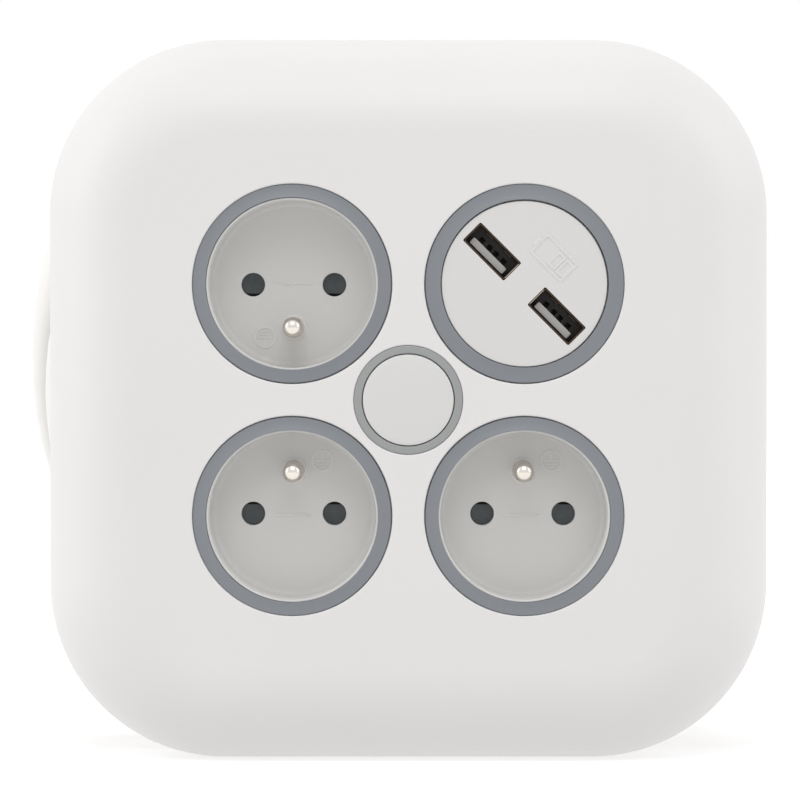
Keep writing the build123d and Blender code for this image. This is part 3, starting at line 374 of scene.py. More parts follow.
def add_node(tree: bpy.types.NodeTree, kind: str, settings: dict[str, object] | None = None,
             inputs: dict[str | int, object] | None = None) -> bpy.types.Node:
    """Adds a node with its settings, and with its inputs set or linked.

    Args:
        tree: The node tree to add to.
        kind: The node's type.
        settings: Values for the node's own properties.
        inputs: A value, or a socket to link from, for each input by name or number.

    Returns:
        The new node.
    """
    node = tree.nodes.new(kind)
    for name, value in (settings or {}).items():
        setattr(node, name, value)
    for name, value in (inputs or {}).items():
        socket = node.inputs[name]
        if isinstance(value, bpy.types.NodeSocket):
            tree.links.new(value, socket)
        else:
            socket.default_value = value
    return node


@dataclass(frozen=True)
class Finish:
    """A surface: its colour, its gloss, and the fine relief that its making left.

    Grain is the size of the relief in millimetres, relief its height in millimetres, mottle the
    share by which the colour drifts, and drift the size of that drift in millimetres.
    """

    name: str
    slot: str
    colour: str
    roughness: float
    metallic: float = 0.0
    grain: float = 0.6
    relief: float = 0.004
    mottle: float = 0.02
    drift: float = 30.0
    stretch: Point3 = (1.0, 1.0, 1.0)
    specular: float = 0.5

    def material(self) -> bpy.types.Material:
        """Makes the finish's material on first use.

        Returns:
            The material.
        """
        known = bpy.data.materials.get(self.name)
        if known:
            return known
        made = bpy.data.materials.new(self.name)
        made.use_nodes = True
        tree = made.node_tree
        tree.nodes.clear()
        place = add_node(tree, "ShaderNodeTexCoord")
        turned = add_node(tree, "ShaderNodeMapping", inputs={
            "Vector": place.outputs["Object"], "Scale": self.stretch})
        patch = add_node(tree, "ShaderNodeTexNoise", inputs={
            "Vector": place.outputs["Object"], "Scale": 1 / (self.drift * MM), "Detail": 2.0})
        tone = add_node(tree, "ShaderNodeValToRGB", inputs={"Fac": patch.outputs["Fac"]})
        base = linear(self.colour)
        shares = (1 - self.mottle, 1 + self.mottle)
        for stop, share, position in zip(tone.color_ramp.elements, shares, TONE_STOPS):
            stop.color = tuple(min(1.0, part * share) for part in base[:3]) + (1.0,)
            stop.position = position
        grain = add_node(tree, "ShaderNodeTexNoise", inputs={
            "Vector": turned.outputs["Vector"], "Scale": 1 / (self.grain * MM), "Detail": 3.0})
        gloss = add_node(tree, "ShaderNodeMapRange", inputs={
            "Value": grain.outputs["Fac"], "To Min": self.roughness * (1 - GLOSS_DRIFT),
            "To Max": self.roughness * (1 + GLOSS_DRIFT)})
        bump = add_node(tree, "ShaderNodeBump", inputs={
            "Height": grain.outputs["Fac"], "Strength": 1.0, "Distance": self.relief * MM})
        shader = add_node(tree, "ShaderNodeBsdfPrincipled", inputs={
            "Base Color": tone.outputs["Color"], "Roughness": gloss.outputs["Result"],
            "Metallic": self.metallic, "Specular IOR Level": self.specular,
            "Normal": bump.outputs["Normal"]})
        add_node(tree, "ShaderNodeOutputMaterial", inputs={"Surface": shader.outputs["BSDF"]})
        return made


# ABS, injection moulded in a spark-eroded mould: an even satin white that blurs what it reflects.
HOUSING_WHITE = Finish("satin_white_abs", "housing", "#e6e4e3", 0.42, mottle=0.006, relief=0.003)
# The same plastic from a finer mould, a shade greyer than the housing.
DISC_WHITE = Finish("disc_white_abs", "housing", "#dcdad8", 0.4, mottle=0.006, relief=0.003)
# The disc's raised lines: their flanks catch a little more light than the disc does.
SIGN_ON_DISC = Finish("disc_sign_abs", "housing", "#e1dfdd", 0.4, mottle=0.006)
# The same ABS from a polished mould: the cups and the button are a little glossier. Its colour, a shade
# darker than the housing's, is painted shade for the deep cups, and the button shares it.
SHADED_CUP_WHITE = Finish("polished_abs_painted_shade", "cup_plastic", "#dbdad8", 0.33, mottle=0.006, relief=0.001)
# The cups' raised lines, which are engraved in the mould; they keep nearly the housing's white, paler than
# the cups, whose colour holds painted shade.
SIGN_WHITE = Finish("raised_sign_abs", "cup_plastic", "#e6e5e3", 0.4, mottle=0.006)
# Tinted ABS of the trim rings: blue-grey, fine grain.
RING_GREY = Finish("satin_blue_grey_abs", "ring_plastic", "#82868b", 0.4, mottle=0.012, relief=0.002)
# Tinted ABS of the ring round the button: a neutral grey.
BUTTON_GREY = Finish("satin_grey_abs", "button_ring_plastic", "#9c9e9e", 0.42, mottle=0.012, relief=0.002)
# Glass-filled nylon of the shutters: nearly black and smooth where the pins rub it.
SHUTTER_DARK = Finish("smooth_dark_nylon", "inner_plastic", "#353c3e", 0.24, mottle=0.25, drift=3.0)
# The same nylon with a moulded grain, for the pieces that carry the contacts.
INNER_DARK = Finish("matt_dark_nylon", "inner_plastic", "#2b2e30", 0.55, mottle=0.05, relief=0.004)
# Glass-filled nylon of the USB tongues: a pale warm grey.
TONGUE_GREY = Finish("pale_grey_nylon", "usb_insulator", "#b7b5b2", 0.45, mottle=0.02, relief=0.002)
# Lacquered glass laminate of a circuit board: green with a wet gloss.
BOARD_GREEN = Finish("lacquered_laminate", "circuit_board", "#1f5a38", 0.25, mottle=0.05, drift=4.0)
# Nickel plate on turned brass: mirror bright with a warm cast and fine turning marks.
NICKEL = Finish("nickel_plate", "nickel", "#ded8cf", 0.16, metallic=1.0, grain=0.3, relief=0.0006)
# Tinned steel sheet of the USB shells, coloured dark brown all over with a patchy tone: painted shade for the
# dark ports that they line.
SHADE_PAINTED_TIN = Finish("tin_painted_shade", "shell_steel", "#4a3f36", 0.34, metallic=1.0, grain=0.4, relief=0.001,
                mottle=0.12, drift=2.0)
# The shells' short front ends: a pale copy of the shells' steel, a painted highlight where the ends catch the
# light.
HIGHLIGHT_STEEL = Finish("steel_painted_highlight", "shell_steel", "#b3a894", 0.3, metallic=1.0, grain=0.4,
                   relief=0.001)
# Black glass-filled nylon behind the tongues.
PORT_NYLON = Finish("dark_port_nylon", "inner_plastic", "#37332f", 0.5, mottle=0.04, relief=0.003)
# Stamped brass of the busbars: yellow, rolled along its length.
BRASS = Finish("rolled_brass", "contact_brass", "#d0a85c", 0.3, metallic=1.0, grain=0.5, relief=0.001,
               stretch=(0.2, 1.0, 1.0))
# Turned steel of the axle: fine rings left by the tool.
AXLE_STEEL = Finish("turned_steel", "axle_steel", "#b4b4b6", 0.3, metallic=1.0, grain=0.3, relief=0.001)
# Zinc-plated screws: a cool grey that scatters a little.
ZINC = Finish("zinc_plate", "screw_steel", "#b9babc", 0.35, metallic=1.0, grain=0.5, relief=0.001)
# Bright spring steel of the shutters' leaves.
SPRING = Finish("spring_steel", "spring_steel", "#aeaeb0", 0.25, metallic=1.0, grain=0.4, relief=0.001)
# Soft PVC sheath of the cable: white, extruded, a low waxy gloss.
SHEATH = Finish("white_pvc_sheath", "cable_sheath", "#f1efec", 0.45, mottle=0.01, grain=1.2, relief=0.006)
# The same PVC, moulded round the plug: a fine matt grain.
PLUG_WHITE = Finish("white_moulded_pvc", "plug_moulding", "#efedea", 0.5, mottle=0.01, relief=0.005)
# Black rubber of the gland.
RUBBER = Finish("black_rubber", "gland_rubber", "#26262a", 0.65, mottle=0.04, relief=0.006)
# PVC of the three cores.
BROWN_CORE = Finish("brown_pvc_core", "brown_core", "#5a3520", 0.45)
BLUE_CORE = Finish("blue_pvc_core", "blue_core", "#2a55a0", 0.45)
EARTH_CORE = Finish("green_pvc_core", "earth_core", "#5f9a2c", 0.45)


def place(form: bmesh.types.BMesh, name: str, finish: Finish, body: str = REEL,
          replaces: Sequence[str] = (), crease: float = CREASE) -> bpy.types.Object:
    """Finishes a piece: moves it into the row frame, dresses it and hangs it on its body.

    Args:
        form: The mesh in millimetres about the reel's axis. It is freed.
        name: The piece's name.
        finish: Its surface.
        body: The CAD body that it moves with.
        replaces: The CAD nodes that it stands for.
        crease: Edges sharper than this angle stay crisp.

    Returns:
        The piece.
    """
    into_frame = Matrix.Scale(MM, 4) @ Matrix.Translation((0, -FACE_DEPTH, AXIS_HEIGHT))
    bmesh.ops.transform(form, matrix=into_frame, verts=form.verts)
    for face in form.faces:
        face.smooth = True
    for edge in form.edges:
        flat_sides = sum(abs(face.normal.y) > FLAT for face in edge.link_faces)
        edge.smooth = edge.calc_face_angle(0.0) < crease and flat_sides != 1
    mesh = bpy.data.meshes.new(name)
    form.to_mesh(mesh)
    form.free()
    mesh.materials.append(finish.material())
    piece = bpy.data.objects.new(name, mesh)
    bpy.context.scene.collection.objects.link(piece)
    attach(piece, body)
    if replaces:
        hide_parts(*replaces)
    LOG.info("%s rides on %s", name, body)
    return piece


# Sub-assemblies


@dataclass
class Camera:
    """The viewpoint of the photograph: straight on, from a metre away, a little above the middle."""

    eye: Point3 = (0.4, -1000.0, 13.8)
    aim: Point3 = (-1.9, 0.0, 0.0)
    sensor: float = 36.0
    view_width: float = 184.3
    near: float = 0.05
    far: float = 20.0

    def build(self) -> None:
        """Creates the camera and makes it the scene's own."""
        eye, aim = to_frame(self.eye), to_frame(self.aim)
        data = bpy.data.cameras.new("camera")
        data.sensor_width = self.sensor
        data.lens = self.sensor * (aim - eye).length / (self.view_width * MM)
        data.clip_start, data.clip_end = self.near, self.far
        camera = bpy.data.objects.new("camera", data)
        camera.location = eye
        camera.rotation_euler = (aim - eye).to_track_quat("-Z", "Y").to_euler()
        bpy.context.scene.collection.objects.link(camera)
        bpy.context.scene.camera = camera


@dataclass
class Cable:
    """The whole mains cable: two tidy layers on the drum, a loose outer turn in each lane, and the tail.

    Angles are in degrees about the reel's axis. The cable steps to the next lane from step_angle on,
    over step_width, and the last gap, in points of a turn, is left free before the tail.
    """

    diameter: float = 9.0
    length: float = 5000.0
    lanes: Sequence[float] = (45.05, 54.35, 63.65, 72.95)
    inner_radius: float = 54.8
    outer_radius: float = 63.9
    loose_turns: Sequence[Point2] = ((76.2, -3.4), (78.35, -5.25), (78.95, -5.55), (80.5, -7.6))
    loose_height: float = 2.0
    per_turn: int = 16
    start_angle: float = -55.0
    step_angle: float = 225.0
    step_width: float = 45.0
    last_gap: float = 0.9
    facets: int = 5
    order: int = 3
    tail: Sequence[Point3] = (
        (-1.0, 72.95, 82.5), (-43.1, 72.95, 82.5), (-77.4, 72.95, 57.1), (-89.1, 73.2, 23.0),
        (-89.1, 95.2, -15.4), (-73.0, 101.7, -44.7), (-44.6, 100.8, -62.0), (-12.0, 100.8, -62.0))

    def stations(self) -> list[tuple[float, float, float, float]]:
        """Lists the cable's turns, from the drum outwards.

        Returns:
            Each turn's radius, shift across, rise and lane depth.
        """
        first = [(self.inner_radius, 0.0, 0.0, lane) for lane in self.lanes]
        second = [(self.outer_radius, 0.0, 0.0, lane) for lane in reversed(self.lanes)]
        third = [(radius, shift, self.loose_height, lane)
                 for (radius, shift), lane in zip(self.loose_turns, self.lanes)]
        return first + second + third

    def route(self) -> list[Point3]:
        """Leads the cable from the drum's wall through every turn to the plug.

        Returns:
            The curve's control points.
        """
        stations = self.stations()
        step = 360.0 / self.per_turn
        swell = 1 / math.cos(math.pi / self.per_turn)
        last_radius, last_shift = self.loose_turns[-1]
        end = math.degrees(math.acos((self.tail[0][0] - last_shift) / last_radius)) - step * self.last_gap
        laps = len(stations) - 1
        end += 360.0 * laps
        count = round((end - self.start_angle) / step)
        points: list[Point3] = []
        for index in range(count + 1):
            angle = self.start_angle + (end - self.start_angle) * index / count
            lap, inside = divmod(angle - self.step_angle + 360.0, 360.0)
            lap = int(lap)
            share = min(1.0, inside / self.step_width)
            share = share * share * (3 - 2 * share)
            before = stations[max(0, min(lap - 1, laps))]
            after = stations[max(0, min(lap, laps))]
            radius, shift, rise, depth = (a + (b - a) * share for a, b in zip(before, after))
            radius *= swell
            turn = math.radians(angle)
            points.append((shift + radius * math.cos(turn), depth, rise + radius * math.sin(turn)))
        return points + list(self.tail)

    def build(self) -> None:
        """Makes the cable as one smooth curve with its plug on its end."""
        points = [to_frame(point) for point in self.route()]
        data = bpy.data.curves.new("mains_cable", "CURVE")
        data.dimensions = "3D"
        data.bevel_depth = self.diameter / 2 * MM
        data.bevel_resolution = self.facets
        data.use_fill_caps = True
        spline = data.splines.new("NURBS")
        spline.points.add(len(points) - 1)
        for control, point in zip(spline.points, points):
            control.co = (*point, 1.0)
        spline.order_u = self.order
        spline.use_endpoint_u = True
        spline.resolution_u = self.facets
        data.materials.append(SHEATH.material())
        cable = bpy.data.objects.new("mains_cable", data)
        bpy.context.scene.collection.objects.link(cable)
        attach(cable, REEL)
        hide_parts("cable_winding", "cable_tail")
        LOG.info("mains_cable with %d points", len(points))


@dataclass
class Plug:
    """The moulded plug, parked in the rear housing with its axis across the reel."""

    start: float = -12.0
    relief: float = 28.0
    neck: float = 22.0
    head: float = 18.0
    radius: float = 18.5
    neck_radius: float = 9.0
    cable_radius: float = 4.5
    depth: float = 100.8
    height: float = -62.0
    cover: float = 1.0
    lip: Point2 = (0.8, 0.6)
    ribs: int = 6
    rib: Sequence[Point2] = ((-1.2, 0.0), (-0.8, -1.0), (0.4, -1.0), (0.8, 0.0))
    neck_curve: Sequence[Point2] = ((0.0, 0.0), (6.0, 1.2), (12.0, 3.2))
    head_curve: Sequence[Point2] = ((-4.0, -4.0), (-1.2, -1.4), (0.0, -0.5), (1.5, 0.0))
    face_curve: Sequence[Point2] = ((-2.0, 0.0), (-1.0, -0.27), (-0.27, -1.0), (0.0, -2.0))
    earth_offset: float = 10.0
    hole_radius: float = 2.75
    hole_depth: float = 16.0
    strap_slot: Point2 = (15.25, 20.0)
    slot_size: Point2 = (13.1, 4.1)
    slot_place: float = 8.0

    @property
    def neck_start(self) -> float:
        """Where the strain relief ends and the neck starts."""
        return self.start + self.relief

    @property
    def head_start(self) -> float:
        """Where the neck ends and the head starts."""
        return self.neck_start + self.neck

    @property
    def face(self) -> float:
        """Where the face that carries the pins lies."""
        return self.head_start + self.head

    def build(self) -> None:
        """Makes the plug's body: ribbed strain relief, flared grip and a face with an earth hole."""
        tip = self.cable_radius + self.cover
        profile = [(self.start, 0), (self.start, tip - self.lip[1]), (self.start + self.lip[0], tip)]
        for rib in range(1, self.ribs + 1):
            share = rib / (self.ribs + 1)
            out = tip + (self.neck_radius - tip) * share
            profile += [(self.start + self.relief * share + along, out + rise) for along, rise in self.rib]
        profile += [(self.neck_start + along, self.neck_radius + rise) for along, rise in self.neck_curve]
        profile += [(self.head_start + along, self.radius + rise) for along, rise in self.head_curve]
        profile += [(self.face + along, self.radius + rise) for along, rise in self.face_curve]
        body = lathed_x(profile + [(self.face, 0)], self.depth, self.height)
        hole = pin_x(self.hole_radius, self.face - self.hole_depth, self.face + PAST,
                     self.depth + self.earth_offset, self.height, HOLE_STEPS)
        body = carved(body, hole, Carve.CUT)
        middle = (self.face - self.slot_place, self.height)
        for side in (-1, 1):
            near, far = sorted(self.depth + side * reach for reach in self.strap_slot)
            body = carved(body, slab(*self.slot_size, near, far, middle), Carve.CUT)
        place(body, "plug_moulding", PLUG_WHITE, replaces=["plug_body"], crease=SOFT_CREASE)


@dataclass
class FrontHousing:
    """The white front moulding: a rounded square with a flat face and five holes for its rings and cups."""

    side: float = 168.5
    corner: float = 41.0
    rounding: float = 22.0
    wall: float = 2.5
    depth: float = 40.0
    offset: float = SOCKET_OFFSET
    ring_hole: float = 23.08
    button_hole: float = 12.6
    collar: float = 0.7
    rim_softness: float = 0.35
    corner_strips: int = 28
    rounding_strips: int = 22
    outline_slack: float = 0.05

    def holes(self) -> list[tuple[Point2, float]]:
        """Lists the holes in the face.

        Returns:
            The centre and radius of each.
        """
        places = [(across * self.offset, up * self.offset) for across in (-1, 1) for up in (-1, 1)]
        return [(centre, self.ring_hole) for centre in places] + [((0.0, 0.0), self.button_hole)]

    def skin(self, inset: float) -> bmesh.types.BMesh:
        """Makes one side of the wall, open at the back and at each hole.

        Args:
            inset: How far it lies inside the outer surface.

        Returns:
            The skin.
        """
        size = self.side - 2 * inset
        form = slab(size, size, inset, self.depth, corner=self.corner - inset,
                    corner_segments=self.corner_strips)
        front = at_depth(inset)
        soften(form, front, self.rounding - inset, self.rounding_strips)
        flat = [face for face in form.faces
                if all(abs(vert.co.y - inset) < CLOSE for vert in face.verts)]
        back = [face for face in form.faces
                if all(abs(vert.co.y - self.depth) < CLOSE for vert in face.verts)]
        bmesh.ops.delete(form, geom=flat + back, context="FACES_ONLY")
        loops = [edge for edge in form.edges if edge.is_boundary and front(edge)]
        rims: list[tuple[Point2, float, list[bmesh.types.BMVert]]] = []
        for centre, radius in self.holes():
            stand = Matrix.Translation((centre[0], inset, centre[1])) @ Matrix.Rotation(math.pi / 2, 4, "X")
            made = bmesh.ops.create_circle(form, cap_ends=False, segments=ROUND_STEPS,
                                           radius=radius + self.collar, matrix=stand)
            rims.append((centre, radius, made["verts"]))
            loops += list({edge for vert in made["verts"] for edge in vert.link_edges})
        bmesh.ops.triangle_fill(form, use_beauty=True, use_dissolve=False, edges=loops, normal=(0, -1, 0))
        for centre, radius, verts in rims:
            edges = [edge for vert in verts for edge in vert.link_edges if edge.is_boundary]
            grown = bmesh.ops.extrude_edge_only(form, edges=list(set(edges)))
            inner = [item for item in grown["geom"] if isinstance(item, bmesh.types.BMVert)]
            share = radius / (radius + self.collar)
            middle = Matrix.Translation((-centre[0], 0, -centre[1]))
            bmesh.ops.scale(form, vec=(share, 1, share), space=middle, verts=inner)
        return form

    def build(self) -> None:
        """Makes the moulding from its outer and inner skins."""
        form = joined([self.skin(0.0), self.skin(self.wall)])
        for centre, radius in self.holes():
            outer, inner = on_ring(radius, 0.0, centre), on_ring(radius, self.wall, centre)
            edges = [edge for edge in form.edges if edge.is_boundary and (outer(edge) or inner(edge))]
            bmesh.ops.bridge_loops(form, edges=edges)
        back = at_depth(self.depth)
        bmesh.ops.bridge_loops(form, edges=[edge for edge in form.edges if edge.is_boundary and back(edge)])
        bmesh.ops.recalc_face_normals(form, faces=form.faces)
        for centre, radius in self.holes():
            soften(form, on_ring(radius, 0.0, centre), self.rim_softness)
        soften(form, self.outer_rim, self.rim_softness)
        place(form, "front_moulding", HOUSING_WHITE, replaces=["front_cover"])

    def outer_rim(self, edge: bmesh.types.BMEdge) -> bool:
        """Says whether an edge lies on the outer corner of the wall's back end.

        Args:
            edge: The edge.

        Returns:
            True for an edge of the outer rim.
        """
        half, centre = self.side / 2, self.side / 2 - self.corner
        for vert in edge.verts:
            across, up = abs(vert.co.x), abs(vert.co.z)
            if abs(vert.co.y - self.depth) > CLOSE:
                return False
            if across > centre and up > centre:
                if abs(math.hypot(across - centre, up - centre) - self.corner) > self.outline_slack:
                    return False
            elif abs(max(across, up) - half) > self.outline_slack:
                return False
        return True


@dataclass
class TrimRing:
    """A blue-grey ring round a hole: it flares down from a raised inner lip to the housing's face.

    Play is how far the ring sits off the middle of its hole, away from the reel's axis, both ways.
    """

    centre: Point2
    play: float = 0.08
    radius: float = 22.9
    bore: float = 19.85
    rise: float = 0.6
    outer_drop: float = 0.35
    back: float = 2.5
    softness: float = 0.14
    steps: int = 10

    def build(self, name: str, node: str) -> None:
        """Makes the ring in place of a CAD node."""
        flare = []
        for index in range(self.steps + 1):
            share = index / self.steps
            across = self.bore + (self.radius - self.bore) * share
            flare.append((across, self.outer_drop - self.rise * (1 - share) ** 2))
        rounds = [(flare[0], self.softness), (flare[-1], self.softness)]
        seat = tuple(place_at + math.copysign(self.play, place_at) for place_at in self.centre)
        form = spun(flare + [(self.radius, self.back), (self.bore, self.back)], seat, rounds=rounds)
        place(form, name, RING_GREY, replaces=[node])


@dataclass
class Socket:
    """One recessed mains socket: its trim ring, its cup with raised signs, and its earth pin."""

    name: str
    centre: Point2
    upright: Upright
    wall: float = 2.5
    cup_radius: float = 19.4
    rim_radius: float = 19.83
    rim_drop: float = 0.3
    depth: float = 15.0
    floor: float = 2.0
    cup_wall: float = 1.8
    flange_radius: float = 24.2
    flange: float = 2.0
    corner: float = 1.2
    pin_spacing: float = 19.0
    pin_hole: float = 2.75
    earth_offset: float = 10.0
    earth_radius: float = 2.4
    earth_length: float = 14.0
    earth_neck: float = 2.2
    neck_play: float = 0.05
    earth_seat: Point2 = (3.6, 2.8)
    earth_seat_gap: float = 0.15
    earth_tail: float = 2.0
    earth_end: float = 30.8
    hole_rim: float = 0.18
    rim_softness: float = 0.15
    emboss: float = 0.26
    root: float = 0.2
    line: float = 0.32
    line_edge: float = 0.08
    collar: Sequence[Point2] = ((0.05, -0.4), (0.55, -0.4), (0.75, 0.2), (0.05, 0.2))
    sign_place: Point2 = (6.7, 12.3)
    sign_radius: float = 2.52
    sign_bars: Sequence[Point2] = ((0.0, 3.4), (-0.75, 2.5), (-1.45, 1.5))
    sign_stem: Point2 = (1.1, 1.9)
    wave_part: Point2 = (0.62, 0.3)
    wave_slope: float = 0.8
    bar_place: Point2 = (-2.0, -0.35)
    bar_length: float = 4.4
    wave_place: Point2 = (1.2, -0.3)
    wave_size: Point2 = (3.0, 0.35)
    wave_parts: int = 6
    round_steps: int = 48
    pin_steps: int = 64

    def at(self, across: float, up: float) -> Point2:
        """Returns a place in this socket, turned over where the socket is upside down."""
        turn = self.upright.value
        return (self.centre[0] + turn * across, self.centre[1] + turn * up)

    def cup(self) -> None:
        """Makes the recess with its pin holes and raised signs."""
        back = self.depth + self.floor
        outside = self.cup_radius + self.cup_wall
        flange_back = self.wall + self.flange
        profile = [(0, self.depth), (self.cup_radius, self.depth),
                   (self.cup_radius, self.rim_drop), (self.rim_radius, self.rim_drop),
                   (self.rim_radius, self.wall), (self.flange_radius, self.wall),
                   (self.flange_radius, flange_back), (outside, flange_back), (outside, back), (0, back)]
        rounds = [((self.cup_radius, self.depth), self.corner),
                  ((self.cup_radius, self.rim_drop), self.rim_softness)]
        form = spun(profile, rounds=rounds)
        holes = [(self.pin_spacing / 2, 0.0, self.pin_hole), (-self.pin_spacing / 2, 0.0, self.pin_hole),
                 (0.0, self.upright.value * self.earth_offset, self.earth_neck + self.neck_play)]
        for across, up, radius in holes:
            tool = drill(radius, self.depth - PAST, back + PAST, (across, up), self.round_steps)
            form = carved(form, tool, Carve.CUT)
        for across, up, radius in holes[:2]:
            soften(form, on_ring(radius, self.depth, (across, up)), self.hole_rim, 2)
        bmesh.ops.translate(form, vec=(self.centre[0], 0, self.centre[1]), verts=form.verts)
        # The cup's darker colour is painted shade for its deep recess.
        place(form, f"cup_{self.name}", SHADED_CUP_WHITE, replaces=[f"socket_cup_{self.name}"],
              crease=CRISP_CREASE)
        place(joined(self.signs()), f"signs_{self.name}", SIGN_WHITE)

    def raised(self, width: float, height: float, spot: Point2, turn: float = 0.0) -> bmesh.types.BMesh:
        """Returns a low bar standing on the cup's floor."""
        return slab(width, height, self.depth - self.emboss, self.depth + self.root, spot, self.line_edge,
                    turn, 2)

    def signs(self) -> list[bmesh.types.BMesh]:
        """Makes the earth pin's collar, the earth sign, and a bar with a wave between the pin holes.

        Returns:
            The raised pieces.
        """
        sign = self.at(*self.sign_place)
        face, foot = self.depth - self.emboss, self.depth + self.root
        inner = self.sign_radius - self.line
        ring = [(inner, face), (self.sign_radius, face), (self.sign_radius, foot), (inner, foot)]
        collar = [(self.earth_radius + out, self.depth + rise) for out, rise in self.collar]
        made = [spun(ring, sign, steps=self.round_steps),
                spun(collar, self.at(0.0, self.earth_offset), steps=self.round_steps)]
        lift = self.upright.value
        made.append(self.raised(self.line, self.sign_stem[1], (sign[0], sign[1] + lift * self.sign_stem[0])))
        for drop, width in self.sign_bars:
            made.append(self.raised(width, self.line, (sign[0], sign[1] + lift * drop)))
        made.append(self.raised(self.bar_length, self.line, self.at(*self.bar_place)))
        length, swing = self.wave_size
        for index in range(self.wave_parts):
            share = (index + 0.5) / self.wave_parts
            slope = math.degrees(math.atan(self.wave_slope * math.cos(share * math.tau)))
            spot = self.at(self.wave_place[0] + length * share,
                           self.wave_place[1] + swing * math.sin(share * math.tau))
            made.append(self.raised(*self.wave_part, spot, slope))
        return made

    def earth_pin(self) -> None:
        """Makes the plated earth pin with its domed tip."""
        tip = self.depth - self.earth_length
        radius = self.earth_radius
        back = self.depth + self.floor + self.earth_seat_gap
        seat_radius, seat_length = self.earth_seat
        seat_end = self.depth + self.floor + seat_length
        profile = dome(radius, tip) + [
            (radius, self.depth), (self.earth_neck, self.depth), (self.earth_neck, back),
            (seat_radius, back), (seat_radius, seat_end), (self.earth_tail, seat_end),
            (self.earth_tail, self.earth_end), (0, self.earth_end)]
        up = self.upright.value * self.earth_offset
        form = spun(profile, (self.centre[0], self.centre[1] + up), steps=self.pin_steps)
        place(form, f"pin_{self.name}", NICKEL, replaces=[f"earth_pin_{self.name}"], crease=SOFT_CREASE)

    def build(self) -> None:
        """Makes the socket's pieces."""
        TrimRing(self.centre).build(f"trim_ring_{self.name}", f"socket_ring_{self.name}")
        self.cup()
        self.earth_pin()


